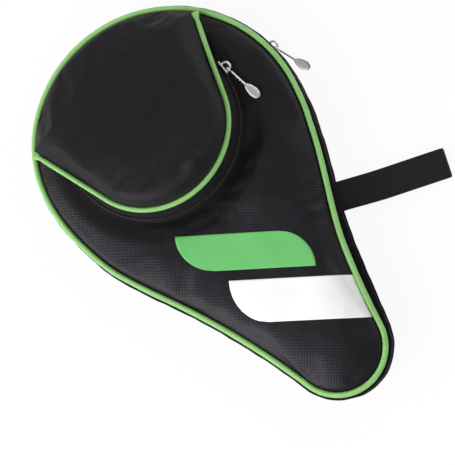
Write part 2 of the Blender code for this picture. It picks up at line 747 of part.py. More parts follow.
def pull_mesh():
    """Eye, stem and oval paddle of a cast pull. X runs to the paddle, Z is the eye's axis."""
    bpy.ops.mesh.primitive_torus_add(major_radius=EYE_RADIUS, minor_radius=EYE_WIRE,
                                     major_segments=16, minor_segments=8)
    ring_item = bpy.context.object
    eye = ring_item.data
    bpy.data.objects.remove(ring_item, do_unlink=True)
    paddle_middle = PULL_LENGTH - 0.5 * PADDLE_LENGTH

    def oval(shrink, half_thickness):
        """An oval lying across the paddle, thin along Y."""
        points = []
        for step in range(20):
            angle = 2.0 * math.pi * step / 20
            points.append(((0.5 * PADDLE_LENGTH - shrink) * math.cos(angle),
                           (0.5 * PADDLE_WIDTH - shrink) * math.sin(angle)))
        return flat_outline(points, half_thickness)

    stand = Matrix.Translation((paddle_middle, 0.0, 0.0)) @ Matrix.Rotation(math.radians(90.0), 4, "X")
    paddle = oval(0.0, 0.5 * PADDLE_THICKNESS)
    dish = oval(PADDLE_RIM, PADDLE_RECESS)
    lower = Matrix.Translation((0.0, 0.0, -0.5 * PADDLE_THICKNESS))
    upper = Matrix.Translation((0.0, 0.0, 0.5 * PADDLE_THICKNESS))
    dished = joined(paddle, [(dish, lower), (dish, upper)], "DIFFERENCE")
    stem_end = PULL_LENGTH - PADDLE_LENGTH + STEM_RADIUS
    stem = rod_mesh([(EYE_RADIUS, 0.0, 0.0), (stem_end, 0.0, 0.0)], STEM_RADIUS, 1)
    return joined(eye, [(stem, Matrix.Identity(4)), (dished, stand)])


def frame_of(origin, along, outward):
    """A placement with X along one direction and Z nearest to another."""
    x_axis = along.normalized()
    z_axis = (outward - x_axis * outward.dot(x_axis)).normalized()
    y_axis = z_axis.cross(x_axis)
    turn = Matrix((x_axis, y_axis, z_axis)).transposed().to_4x4()
    return Matrix.Translation(origin) @ turn


def make_sliders():
    """Both zips' sliders and pulls: the same castings, placed on their coils."""
    body = slider_mesh()
    pull = pull_mesh()
    placed = {}

    outward = Vector((math.cos(ZIP_CLOSED_ANGLE), math.sin(ZIP_CLOSED_ANGLE), 0.0))
    along = Vector((outward.y, -outward.x, 0.0))
    spot = outward * (HEAD_RADIUS - COIL_INSET)
    spot.z = PARTING_HEIGHT
    slider = place("main_slider", body, NICKEL)
    slider.matrix_world = frame_of(spot, along, outward)
    eye = spot + along * BAIL_LEG + outward * EYE_LEVEL
    droop = math.asin((PARTING_HEIGHT - 0.5 * PADDLE_THICKNESS - 2.0 * CLEARANCE) / PULL_LENGTH)
    clear = 0.5 * PADDLE_WIDTH + COIL_INSET - EYE_LEVEL + PULL_CLEARANCE
    lean = math.asin(clear / (PULL_LENGTH - 0.5 * PADDLE_LENGTH))
    down = along * math.cos(droop) + Vector((0.0, 0.0, -math.sin(droop)))
    hang = place("main_pull", pull, NICKEL)
    hang.matrix_world = frame_of(eye, down * math.cos(lean) + outward * math.sin(lean), outward)
    hang_on("main_pull_pivot", eye, [hang])
    hang_on("main_slider_pivot", (0.0, 0.0, PARTING_HEIGHT), [slider])
    placed["main_eye"] = eye

    tilt = POCKET_COIL_ANGLE
    angle = POCKET_SLIDER_ANGLE
    across, depth = pocket_outline(1.0 + angle / math.pi, POCKET_COIL_OUTSET)
    spot = pocket_point(across, depth, coil_lift(depth))
    slope = Vector((0.0, -math.cos(tilt), math.sin(tilt)))
    outward = Vector((math.cos(angle), 0.0, 0.0)) + slope * math.sin(angle)
    along = Vector((math.sin(angle), 0.0, 0.0)) - slope * math.cos(angle)
    slider = place("pocket_slider", body, NICKEL)
    slider.matrix_world = frame_of(spot, along, outward)
    eye = spot - along * BAIL_LEG + outward * EYE_LEVEL
    droop = POCKET_PULL_DROOP
    level = Vector((-along.x, -along.y, 0.0)).normalized()
    lean = POCKET_PULL_LEAN
    down = level * math.cos(droop) + Vector((0.0, 0.0, -math.sin(droop)))
    hang = place("pocket_pull", pull, NICKEL)
    hang.matrix_world = frame_of(eye, down * math.cos(lean) + outward * math.sin(lean), outward)
    centre = pocket_point(0.0, POCKET_ARC_DEPTH, coil_lift(POCKET_ARC_DEPTH))
    hang_on("pocket_pull_pivot", eye, [hang])
    hang_on("pocket_slider_pivot", centre, [slider])
    placed["pocket_eye"] = eye
    return placed


def make_strap():
    """Webbing folded into a flat loop, its two ends sewn in at the hinge and its fold on the floor."""
    outward = outline_normal(STRAP_STATION)
    along = Vector((-outward.y, outward.x, 0.0))
    facet = NECK_RADIUS * (HEAD_END - TIP_END) / FLANK_STEPS
    stray = (facet ** 2 + STRAP_WIDTH ** 2) / (8.0 * NECK_RADIUS)
    root = outline_point(STRAP_STATION, TAPE_INSET - CLEARANCE - stray, PARTING_HEIGHT)
    half = 0.5 * (STRAP_LOOP_HEIGHT - STRAP_THICKNESS)
    fall = PARTING_HEIGHT - half - 0.5 * STRAP_THICKNESS - CLEARANCE
    reach = STRAP_LENGTH - half
    root_half = 0.5 * STRAP_THICKNESS + CLEARANCE

    def centre_line(share):
        """Fall of the loop's middle from its root to the floor, where the rest of it lies."""
        part_way = min(1.0, share / STRAP_FALL_SHARE)
        return -fall * (3.0 * part_way ** 2 - 2.0 * part_way ** 3)

    def gap(share):
        """Half the distance between the two layers."""
        return root_half + (half - root_half) * min(1.0, 2.2 * share) ** 1.5

    steps = 10
    line = []
    for step in range(steps + 1):
        share = step / steps
        line.append((reach * share, centre_line(share) + gap(share)))
    for step in range(1, 6):
        angle = 0.5 * math.pi - math.pi * step / 6
        line.append((reach + half * math.cos(angle), -fall + half * math.sin(angle)))
    for step in range(steps, -1, -1):
        share = step / steps
        line.append((reach * share, centre_line(share) - gap(share)))
    rings = []
    for side in (0.5, -0.5):
        edge = along * side * STRAP_WIDTH
        rings.append([root + edge + outward * out + Vector((0.0, 0.0, up)) for out, up in line])
    strap = place("hand_strap", loft(rings, False), BLACK_WEBBING)
    solid = strap.modifiers.new("thickness", "SOLIDIFY")
    solid.thickness = STRAP_THICKNESS
    solid.offset = 0.0
    solid.use_even_offset = True
    hang_on("strap_pivot", root, [strap])
    return root


def lid_hinge_point():
    """Where the line that touches head and tip on the right flank crosses the head."""
    lean = math.asin((HEAD_RADIUS - TIP_RADIUS) / TIP_DISTANCE)
    return Vector((HEAD_RADIUS * math.cos(lean), -HEAD_RADIUS * math.sin(lean), PARTING_HEIGHT))


def build_case():
    """Make every piece and hang the moving groups on their axes."""
    make_back_half()
    front = make_front_half()
    zips = make_main_zip()
    fixed, lifting = make_pocket_wall()
    cover = make_pocket_cover()
    crown = make_pocket_crown()
    green = make_stripe("green_stripe", GREEN_START, GREEN_SIZE, GREEN_ROUNDS, GREEN_FILM)
    white = make_stripe("white_stripe", WHITE_START, WHITE_SIZE, WHITE_ROUNDS, WHITE_FILM)
    lid = front + zips["front"] + fixed + [crown, green, white]
    hang_on("lid_pivot", lid_hinge_point(), lid)
    hang_on("pocket_pivot", (0.0, POCKET_HINGE_Y, POCKET_HINGE_Z), lifting + [cover])
    make_sliders()
    make_strap()


build_case()
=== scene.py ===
import json
import math

import bmesh
import bpy
import numpy as np
from mathutils import Matrix, Vector, noise
from mathutils.bvhtree import BVHTree


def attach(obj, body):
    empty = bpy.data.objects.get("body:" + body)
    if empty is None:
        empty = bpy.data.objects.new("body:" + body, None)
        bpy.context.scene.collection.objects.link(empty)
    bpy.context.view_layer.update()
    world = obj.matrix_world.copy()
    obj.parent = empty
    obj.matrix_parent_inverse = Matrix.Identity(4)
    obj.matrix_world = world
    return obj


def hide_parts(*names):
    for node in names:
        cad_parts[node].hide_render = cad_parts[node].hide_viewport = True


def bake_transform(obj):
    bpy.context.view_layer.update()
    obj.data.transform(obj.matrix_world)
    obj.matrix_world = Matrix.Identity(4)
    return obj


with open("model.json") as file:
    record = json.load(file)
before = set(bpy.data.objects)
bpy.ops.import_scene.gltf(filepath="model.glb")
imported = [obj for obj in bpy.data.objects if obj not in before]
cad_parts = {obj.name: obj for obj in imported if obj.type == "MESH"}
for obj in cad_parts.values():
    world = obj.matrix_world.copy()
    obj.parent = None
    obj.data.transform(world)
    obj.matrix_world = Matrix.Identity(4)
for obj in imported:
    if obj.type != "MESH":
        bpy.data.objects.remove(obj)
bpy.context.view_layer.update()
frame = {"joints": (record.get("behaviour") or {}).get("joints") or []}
scene = bpy.context.scene

# Back panel
# The flat of the back: woven polyester over a thin foam pad, cut to the gourd outline of the case and
# sewn into the corded seam all round. The case lies on it, so only its edge is round.
HEAD_RADIUS = 0.095
TIP_RADIUS = 0.034
TIP_DISTANCE = 0.170
NECK_RADIUS = 0.520
LEFT_STRAY = (0.0057, -0.010, 0.060, 0.090)
RIGHT_STRAY = (0.0036, -0.068, 0.058, 0.046)
OUTLINE_STEP = 0.0022
OUTLINE_SAMPLES = 1200
BACK_SEAM = 0.0024
BACK_ROUND = 0.006
SEAM_INSET = 0.0030
CORD_RADIUS = 0.0019
PANEL_INSET = SEAM_INSET + 0.85 * CORD_RADIUS
PANEL_CENTRE = (0.0, -0.045)
PAD_THICKNESS = 0.0042
PAD_EDGE = 0.0008
CELL = 0.0025
BLACK = (0.0037, 0.0033, 0.0045)
CLOTH_THREAD = 0.00042
BACK_RIPSTOP = 0.0018
RIPSTOP_SHARPNESS = 5.0
DYE_PATCH = 0.030
RUBBED_SPOT = 0.0045


def flank_centre():
    """Centre of the right flank's hollow arc, which touches both round ends."""
    to_head = HEAD_RADIUS + NECK_RADIUS
    to_tip = TIP_RADIUS + NECK_RADIUS
    along = (to_tip ** 2 - to_head ** 2 - TIP_DISTANCE ** 2) / (2.0 * TIP_DISTANCE)
    return math.sqrt(to_head ** 2 - along ** 2), along


FLANK_X, FLANK_Y = flank_centre()
HEAD_END = math.atan2(FLANK_Y, FLANK_X)
TIP_END = math.atan2(FLANK_Y + TIP_DISTANCE, FLANK_X)

# Head, left flank, tip and right flank: centre, radius, what an inset adds, first and last angle
ARCS = (
    (0.0, 0.0, HEAD_RADIUS, -1.0, HEAD_END, math.pi - HEAD_END),
    (-FLANK_X, FLANK_Y, NECK_RADIUS, 1.0, -HEAD_END, -TIP_END),
    (0.0, -TIP_DISTANCE, TIP_RADIUS, -1.0, math.pi - TIP_END, 2.0 * math.pi + TIP_END),
    (FLANK_X, FLANK_Y, NECK_RADIUS, 1.0, math.pi + TIP_END, math.pi + HEAD_END),
)


def swell(y, size, middle, below, above):
    """A smooth swell along the length: its size, its middle and its reach to both sides."""
    off = y - middle
    return size * np.cos(0.5 * math.pi * np.clip(np.maximum(-off / below, off / above), 0.0, 1.0)) ** 2


def sewn_stray(x, y):
    """How far the sewing draws the edge to the right: in at the left of the head, out on the right flank."""
    return np.where(x < 0.0, swell(y, *LEFT_STRAY), swell(y, *RIGHT_STRAY))


def outline_point(station, inset=0.0, height=0.0):
    """A point of the outline: head, left flank, tip and right flank take one unit each."""
    turn = station % 4.0
    x, y, radius, grow, first, last = ARCS[int(turn)]
    angle = first + (last - first) * (turn - int(turn))
    reach = radius + grow * inset
    x += reach * math.cos(angle)
    y += reach * math.sin(angle)
    return x + float(sewn_stray(x, y)), y, height


def head_station(angle):
    """Place on the outline of a direction from the head's centre."""
    return (angle - HEAD_END) / (math.pi - 2.0 * HEAD_END)


def run_along(points):
    """How far along a line each of its points is."""
    steps = np.linalg.norm(np.diff(points, axis=0), axis=1)
    return np.concatenate([[0.0], np.cumsum(steps)])


def stations_between(first, last):
    """Places along the outline, about evenly spaced."""
    fine = np.linspace(first, last, OUTLINE_SAMPLES)
    run = run_along(np.array([outline_point(station) for station in fine]))
    count = max(2, round(run[-1] / OUTLINE_STEP))
    return np.interp(np.linspace(0.0, run[-1], count + 1), run, fine)


def outline_ring(stations, inset, height):
    """One line of points along the outline."""
    return np.array([outline_point(station, inset, height) for station in stations])


ALL_ROUND = stations_between(0.0, 4.0)[:-1]


def inset_of(x, y):
    """How far inside the outline points of the front or back are."""
    across = np.abs(x - sewn_stray(x, y))
    flank = np.hypot(across - FLANK_X, y - FLANK_Y) - NECK_RADIUS
    tip = TIP_RADIUS - np.hypot(across, y + TIP_DISTANCE)
    head = HEAD_RADIUS - np.hypot(across, y)
    below = np.where(np.arctan2(y + TIP_DISTANCE, across) < TIP_END, tip, flank)
    return np.where(np.arctan2(y, across) > HEAD_END, head, below)


def edge_reach(edge, centre, angle):
    """How far an edge is from a centre, in each of the directions given."""
    spokes = np.asarray(edge)[:, :2] - centre
    bearing = np.arctan2(spokes[:, 1], spokes[:, 0])
    order = np.argsort(bearing)
    far = np.hypot(spokes[:, 0], spokes[:, 1])
    return np.interp(angle, bearing[order], far[order], period=2.0 * math.pi)


def spread_cloth(edge, centre, columns, rows):
    """A square grid of cloth spread over a round outline: places in plan, and how far out each one is."""
    u, v = np.meshgrid(np.linspace(-1.0, 1.0, columns + 1), np.linspace(-1.0, 1.0, rows + 1))
    x = u * np.sqrt(1.0 - 0.5 * v ** 2)
    y = v * np.sqrt(1.0 - 0.5 * u ** 2) * rows / columns
    share = np.hypot(x, y * columns / rows)
    angle = np.arctan2(y, x)
    reach = edge_reach(edge, centre, angle)
    plan_x = centre[0] + share * reach * np.cos(angle)
    plan_y = centre[1] + share * reach * np.sin(angle)
    return plan_x, plan_y, share


def make_piece(name, points, faces, flat=None):
    """A smooth piece, with the weave laid out by the flat places of its faces' corners, or else in plan."""
    if flat is None:
        flat = [points[corner][:2] for face in faces for corner in face]
    mesh = bpy.data.meshes.new(name)
    mesh.from_pydata([tuple(point) for point in points], [], faces)
    layer = mesh.uv_layers.new(name="weave")
    layer.data.foreach_set("uv", np.asarray(flat, float).ravel())
    mesh.shade_smooth()
    item = bpy.data.objects.new(name, mesh)
    scene.collection.objects.link(item)
    return item


def grid_faces(rows, columns, first=0, flip=False):
    """Four-sided faces of a grid of points."""
    faces = []
    for row in range(rows - 1):
        for column in range(columns - 1):
            corner = first + row * columns + column
            face = (corner, corner + 1, corner + columns + 1, corner + columns)
            faces.append(face[::-1] if flip else face)
    return faces


def grid_edge(rows, columns):
    """Places of the points round the edge of a grid, anticlockwise."""
    low = list(range(columns))
    right = [row * columns + columns - 1 for row in range(1, rows)]
    high = [(rows - 1) * columns + column for column in range(columns - 2, -1, -1)]
    left = [row * columns for row in range(rows - 2, 0, -1)]
    return low + right + high + left


def make_pad(name, plan_x, plan_y, upper, lower, grain=0.0):
    """A closed pad of cloth and foam between an upper and a lower face, its weave turned by the grain."""
    rows, columns = plan_x.shape
    count = rows * columns
    points = np.concatenate([
        np.stack([plan_x, plan_y, upper], axis=-1).reshape(-1, 3),
        np.stack([plan_x, plan_y, lower], axis=-1).reshape(-1, 3),
    ])
    faces = grid_faces(rows, columns) + grid_faces(rows, columns, count, flip=True)
    rim = grid_edge(rows, columns)
    for here, after in zip(rim, rim[1:] + rim[:1]):
        faces.append((here + count, after + count, after, here))
    turn = np.array(((math.cos(grain), -math.sin(grain)), (math.sin(grain), math.cos(grain))))
    laid = points[:, :2] @ turn
    return make_piece(name, points, faces, [laid[corner] for face in faces for corner in face])


def set_inputs(tree, item, values):
    """Give a shader node its inputs, by name or number, as values or as links."""
    for key, value in values.items():
        socket = item.inputs[key]
        if isinstance(value, bpy.types.NodeSocket):
            tree.links.new(value, socket)
        else:
            socket.default_value = value


def node(tree, kind, values, **settings):
    """A shader node with its inputs and its settings."""
    made = tree.nodes.new("ShaderNode" + kind)
    for key, value in settings.items():
        setattr(made, key, value)
    set_inputs(tree, made, values)
    return made


def maths(tree, operation, *terms):
    """The outcome of one sum in a shader."""
    return node(tree, "Math", dict(enumerate(terms)), operation=operation).outputs[0]


def blend_colours(tree, share, first, second):
    """A colour between two others."""
    values = {0: share, 6: first, 7: second}
    return node(tree, "Mix", values, data_type="RGBA").outputs[2]


def shade(colour, strength):
    """A lighter or darker cut of a colour, with its alpha."""
    return tuple(min(1.0, part * strength) for part in colour) + (1.0,)


def relief(tree, height, strength, distance):
    """The tilt of a surface that its fine heights give."""
    values = {"Height": height, "Strength": strength, "Distance": distance}
    return node(tree, "Bump", values).outputs["Normal"]


def new_finish(name):
    """An empty finish: its material, its node tree and its shader."""
    material = bpy.data.materials.new(name)
    material.use_nodes = True
    return material, material.node_tree, material.node_tree.nodes["Principled BSDF"]


def patches(tree, size, detail=3.0):
    """Soft uneven patches, about so many metres across, that lie still on the piece."""
    place = node(tree, "TexCoord", {}).outputs["Object"]
    return node(tree, "TexNoise", {"Vector": place, "Scale": 1.0 / size, "Detail": detail}).outputs["Fac"]


def weave_places(tree):
    """Flat places on a cloth in metres: across and along it."""
    split = node(tree, "SeparateXYZ", {0: node(tree, "UVMap", {}, uv_map="weave").outputs["UV"]})
    return split.outputs["X"], split.outputs["Y"]


def thread_heights(tree, across, along, thread):
    """Plain weave: threads that pass over and under each other."""
    warp = maths(tree, "SINE", maths(tree, "MULTIPLY", across, math.pi / thread))
    weft = maths(tree, "SINE", maths(tree, "MULTIPLY", along, math.pi / thread))
    over = maths(tree, "GREATER_THAN", maths(tree, "MULTIPLY", warp, weft), 0.0)
    raised = {0: over, 2: maths(tree, "ABSOLUTE", weft), 3: maths(tree, "ABSOLUTE", warp)}
    return node(tree, "Mix", raised).outputs[0]


def ripstop_lines(tree, across, along, pitch, sharpness):
    """The grid of heavier threads in ripstop cloth: 1 on its lines, falling to 0 between them."""
    lines = []
    for run in (across, along):
        wave = maths(tree, "COSINE", maths(tree, "MULTIPLY", run, math.pi / pitch))
        lines.append(maths(tree, "POWER", maths(tree, "ABSOLUTE", wave), sharpness))
    return maths(tree, "MAXIMUM", *lines)


def woven(name, colour, thread, ripstop=None, roughness=0.39, bump=0.00006, sheen=0.03, specular=0.28):
    """Woven cloth, with a grid of heavier threads where it is ripstop, uneven dye and rubbed spots; the
    raised threads and the squares between the grid lines get a painted highlight, which leaves painted shade
    in the hollows and along the lines.
    """
    material, tree, shader = new_finish(name)
    across, along = weave_places(tree)
    height = thread_heights(tree, across, along, thread)
    if ripstop:
        squares = maths(tree, "SUBTRACT", 1.0, ripstop_lines(tree, across, along, ripstop, RIPSTOP_SHARPNESS))
        fine = maths(tree, "MULTIPLY", height, 0.4)
        height = maths(tree, "ADD", fine, maths(tree, "MULTIPLY", squares, 1.8))
    uneven = patches(tree, DYE_PATCH)
    rubbed = patches(tree, RUBBED_SPOT, 6.0)
    dyed = blend_colours(tree, uneven, shade(colour, 0.80), shade(colour, 1.22))
    # Painted highlight: the higher a thread or ripstop square stands, the lighter it is painted, and the
    # hollows and grid lines keep a painted shade.
    raised = maths(tree, "MULTIPLY", height, 0.35)
    threads = blend_colours(tree, raised, dyed, shade(colour, 1.75))
    worn = maths(tree, "MULTIPLY", maths(tree, "GREATER_THAN", rubbed, 0.66), 0.16)
    set_inputs(tree, shader, {
        "Base Color": blend_colours(tree, worn, threads, shade(colour, 2.6)),
        "Roughness": maths(tree, "ADD", maths(tree, "MULTIPLY", rubbed, 0.16), roughness - 0.08),
        "Normal": relief(tree, height, 0.8, bump),
        "Sheen Weight": sheen,
        "Sheen Roughness": 0.45,
        "Specular IOR Level": specular,
        "Specular Tint": (0.97, 0.91, 1.0, 1.0),
    })
    return material


def ease(share):
    """A share from 0 to 1, made to start and end softly."""
    return share * share * (3.0 - 2.0 * share)


def pillow(inset, seam, rise, width):
    """Height of a panel whose edge is rounded over a width and whose middle is flat."""
    share = np.clip((inset - PANEL_INSET) / width, 0.0, 1.0)
    return seam + rise * np.sqrt(np.maximum(0.0, 1.0 - (1.0 - share) ** 2))


def pad_depth(inset, width):
    """Thickness of cloth and foam: thin in the seam, full past the rounded edge."""
    share = np.clip((inset - PANEL_INSET) / width, 0.0, 1.0)
    return PAD_EDGE + (PAD_THICKNESS - PAD_EDGE) * ease(share)


def finish_piece(item, material, body, slot, *nodes):
    """Dress a piece, hang it on its body and let it stand for its solids."""
    item.data.materials.clear()
    item.data.materials.append(material)
    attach(item, body)
    if nodes:
        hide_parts(*nodes)


PANEL_EDGE = outline_ring(ALL_ROUND, PANEL_INSET, 0.0)
PANEL_COLUMNS = round(1.75 * HEAD_RADIUS / CELL)
PANEL_ROWS = round((HEAD_RADIUS + TIP_DISTANCE + TIP_RADIUS) / CELL)
panel_x, panel_y, _ = spread_cloth(PANEL_EDGE, PANEL_CENTRE, PANEL_COLUMNS, PANEL_ROWS)
panel_inset = inset_of(panel_x, panel_y)
back_face = pillow(panel_inset, BACK_SEAM, -BACK_SEAM, BACK_ROUND)
back_panel = make_pad("back_panel_cloth", panel_x, panel_y,
                      back_face + pad_depth(panel_inset, BACK_ROUND), back_face)
back_cloth = woven("back_cloth", BLACK, CLOTH_THREAD, BACK_RIPSTOP)
finish_piece(back_panel, back_cloth, "back_half", "black_cloth", "back_panel", "back_foam")

# Back lining
# A thin plain-woven lining that lies on the foam inside the back half. Its raw edge goes under the
# binding round the inside of the seam.
LINING_DEPTH = 0.0048
LINING_THICKNESS = 0.0008
LINING_SLOPE = 1.08
LINING_FIRST = 1.0 - math.sqrt(0.5)
LINING_RIPPLE = 0.00018
RIPPLE_ACROSS = 0.0071
RIPPLE_ALONG = 0.0093
RIPPLE_SLANT = 0.021
RIPPLE_START = 0.01
LINING_BLACK = (0.020, 0.020, 0.0215)
LINING_THREAD = 0.00036


def make_lining(name, seam, rise, width):
    """Lining cloth under a panel, from the binding to the flat middle."""
    edge_inset = PANEL_INSET + width * LINING_FIRST
    edge = outline_ring(ALL_ROUND, edge_inset, 0.0)
    x, y, _ = spread_cloth(edge, PANEL_CENTRE, PANEL_COLUMNS // 2, PANEL_ROWS // 2)
    inset = inset_of(x, y)
    inward = math.copysign(1.0, -rise)
    face = pillow(inset, seam, rise, width) + inward * LINING_SLOPE * LINING_DEPTH
    ripple = LINING_RIPPLE * np.sin(x / RIPPLE_ACROSS) * np.sin(y / RIPPLE_ALONG + x / RIPPLE_SLANT)
    free_share = np.clip((inset - edge_inset) / RIPPLE_START, 0.0, 1.0)
    other = face + inward * (LINING_THICKNESS + ripple * free_share)
    return make_pad(name, x, y, np.maximum(face, other), np.minimum(face, other))


lining_cloth = woven("lining_cloth", LINING_BLACK, LINING_THREAD, roughness=0.7, sheen=0.3)
back_lining = make_lining("back_lining_cloth", BACK_SEAM, -BACK_SEAM, BACK_ROUND)
finish_piece(back_lining, lining_cloth, "back_half", "black_lining", "back_lining")

# Back binding
# Narrow tape folded over the raw edges of lining and seam and sewn down, so that nothing frays inside.
# It is a woven polyester tape with fine ribs across it.
BINDING_RADIUS = 0.0012
BINDING_BLACK = (0.012, 0.012, 0.013)
BINDING_RIB = 0.0011
CORD_SIDES = 14
WIRE_SIDES = 12
TAPE_PATCH = 0.012


def line_frames(path, lean, closed):
    """Directions square to a line: outward, to its right, and the lean, made square to it."""
    path = np.asarray(path, float)
    if closed:
        along = np.roll(path, -1, axis=0) - np.roll(path, 1, axis=0)
    else:
        along = np.gradient(path, axis=0)
    along /= np.linalg.norm(along, axis=1, keepdims=True)
    out = np.cross(along, lean)
    out /= np.linalg.norm(out, axis=1, keepdims=True)
    return out, np.cross(out, along)


def ring_faces(rings, sides, first=0, closed=False):
    """Four-sided faces between rings of points that follow each other."""
    faces = []
    for ring in range(rings if closed else rings - 1):
        here = first + ring * sides
        ahead = first + (ring + 1) % rings * sides
        for side in range(sides):
            after = (side + 1) % sides
            faces.append((here + side, here + after, ahead + after, ahead + side))
    return faces


def sweep(name, path, sections, closed, lean=(0.0, 0.0, 1.0)):
    """A solid strip or cord: closed outlines (outward, up), one or one for each point, along a line."""
    path = np.asarray(path, float)
    out, up = line_frames(path, np.asarray(lean, float), closed)
    sections = np.broadcast_to(np.asarray(sections, float), (len(path),) + np.shape(sections)[-2:])
    rows = path[:, None] + out[:, None] * sections[..., :1] + up[:, None] * sections[..., 1:]
    count, sides = rows.shape[:2]
    ring_run = run_along(np.vstack([rows[0], rows[0][:1]]))
    line_run = run_along(np.vstack([path, path[:1]])) if closed else run_along(path)
    faces = ring_faces(count, sides, closed=closed)
    flat = []
    for row in range(count if closed else count - 1):
        for side in range(sides):
            for run, turn in ((row, side), (row, side + 1), (row + 1, side + 1), (row + 1, side)):
                flat.append((line_run[run], ring_run[turn]))
    if not closed:
        for row, order in ((0, -1), (count - 1, 1)):
            cap = [row * sides + side for side in range(sides)][::order]
            faces.append(cap)
            flat += [(line_run[row], ring_run[corner % sides]) for corner in cap]
    return make_piece(name, rows.reshape(-1, 3), faces, flat)


def round_section(radius, sides=CORD_SIDES, squash=1.0):
    """A round or oval outline across a cord."""
    angles = np.linspace(0.0, 2.0 * math.pi, sides, endpoint=False)
    return np.stack([radius * np.cos(angles), radius * squash * np.sin(angles)], axis=1)


def ribbed(name, colour, rib, bump=0.00022):
    """Woven tape or webbing: ribs across its length, fine ridges along it, paler the higher the ribs and
    ridges stand.
    """
    material, tree, shader = new_finish(name)
    across, along = weave_places(tree)
    ribs = maths(tree, "SINE", maths(tree, "MULTIPLY", across, 2.0 * math.pi / rib))
    ridges = maths(tree, "SINE", maths(tree, "MULTIPLY", along, 5.0 * math.pi / rib))
    height = maths(tree, "ADD", maths(tree, "MULTIPLY", ribs, 0.5), maths(tree, "MULTIPLY", ridges, 0.22))
    lifted = maths(tree, "MULTIPLY_ADD", height, 0.5, 0.5)
    uneven = patches(tree, TAPE_PATCH)
    dyed = blend_colours(tree, uneven, shade(colour, 0.75), shade(colour, 1.35))
    raised = maths(tree, "MULTIPLY", lifted, 0.4)
    set_inputs(tree, shader, {
        "Base Color": blend_colours(tree, raised, dyed, shade(colour, 2.4)),
        "Roughness": maths(tree, "MULTIPLY_ADD", uneven, 0.2, 0.52),
        "Normal": relief(tree, height, 0.9, bump),
        "Sheen Weight": 0.03,
        "Specular IOR Level": 0.18,
    })
    return material


def make_binding(name, seam, rise, width):
    """Binding tape laid along the lining's edge on the inside."""
    inward = math.copysign(1.0, rise)
    edge = seam + rise * math.sqrt(0.5) - inward * (LINING_SLOPE * LINING_DEPTH + LINING_THICKNESS)
    inset = PANEL_INSET + width * LINING_FIRST
    path = outline_ring(ALL_ROUND, inset - 0.5 * BINDING_RADIUS, edge - inward * BINDING_RADIUS)
    return sweep(name, path, round_section(BINDING_RADIUS, WIRE_SIDES), closed=True)


binding_tape = ribbed("binding_tape", BINDING_BLACK, BINDING_RIB)
back_binding = make_binding("back_binding_tape", BACK_SEAM, -BACK_SEAM, BACK_ROUND)
finish_piece(back_binding, binding_tape, "back_half", "black_webbing", "back_binding")

# Side walls
# Two foam-backed strips of the same cloth, one for each half, sewn to the panels in the corded seams.
# Their folded free edges carry the zip, top-stitched close to the fold.
FRONT_SEAM = 0.0278
PARTING = 0.015
ZIP_GAP = 0.0100
WALL_THICKNESS = 0.0024
WALL_TUCK = 0.0028
TUCK_CURVE = 2.2
WALL_BULGE = 0.0005
BULGE_RUN = 1.15
FLANK_BULGE = 0.0008
FLANK_START = -0.020
FLANK_FULL = -0.060
RIGHT_BULGE = (0.0024, -0.140, 0.066, 0.085)
SEAM_ROOM = CORD_RADIUS + 0.0001
SEAM_HEM = 0.0004
FOLD_FROM = 0.75
FOLD_DRAW = 0.0006
LEAST_LEAN = 0.0002
WALL_STEPS = 7
PUCKER = 0.00022
GATHERS = ((0.5, 0.0031, 0.0), (0.3, 0.0017, 1.3), (0.4, 0.0083, 0.4))
WALL_STITCH_POINT = 6
STITCH_LENGTH = 0.0026
STITCH_STEP = 0.0034
STITCH_RADIUS = 0.00019
STITCH_SHARES = (-0.5, -0.3, 0.0, 0.3, 0.5)
STITCH_SIDES = 5
STITCH_TAPER = 1.6
STITCH_PROUD = 0.3
STITCH_DIVE = 5.0
THREAD_BLACK = (0.0100, 0.0095, 0.0110)
LINT_SPOT = 0.0009


def flank_share(y):
    """1 on the lower flanks and the tip, 0 round the head, with a soft change between."""
    return ease(min(1.0, max(0.0, (FLANK_START - y) / (FLANK_START - FLANK_FULL))))


def pucker(run):
    """Small uneven gathers along a sewn edge: waves of a size, a length and a start."""
    return sum(size * math.sin(run / length + start) for size, length, start in GATHERS)


def wall_section(seam_edge, zip_edge, bulge, gather):
    """Outline across a side wall: outer face from the seam to the fold, then back along the inner face."""
    outer = []
    inner = []
    for step in range(WALL_STEPS + 1):
        share = step / WALL_STEPS
        height = seam_edge + (zip_edge - seam_edge) * share
        lean = -WALL_TUCK * (1.0 - share) ** TUCK_CURVE
        belly = bulge * math.sin(math.pi * min(1.0, BULGE_RUN * share))
        fold = FOLD_DRAW * (max(0.0, share - FOLD_FROM) / (1.0 - FOLD_FROM)) ** 2
        outer.append((lean + belly + gather * math.sin(math.pi * share) - fold, height))
        inner.append((min(lean, -LEAST_LEAN) - WALL_THICKNESS + 0.5 * fold, height))
    inner[0] = (inner[0][0], seam_edge + math.copysign(SEAM_HEM, seam_edge - zip_edge))
    return outer + inner[::-1]


def make_wall(name, seam_edge, zip_edge):
    """One side wall and its sections: fuller on the flanks and the tip, with small puckers at its seams."""
    path = outline_ring(ALL_ROUND, 0.0, 0.0)
    sections = []
    for (x, y, _), place in zip(path, run_along(path)):
        bulge = WALL_BULGE + FLANK_BULGE * flank_share(y)
        if x > 0.0:
            bulge += swell(y, *RIGHT_BULGE)
        sections.append(wall_section(seam_edge, zip_edge, bulge, PUCKER * pucker(place)))
    order = 1 if zip_edge > seam_edge else -1
    return sweep(name, path, [section[::order] for section in sections], closed=True), sections


def at_places(places, run, values):
    """Points or directions along a line, read at places along it."""
    return np.stack([np.interp(places, run, values[:, axis]) for axis in range(3)], axis=-1)


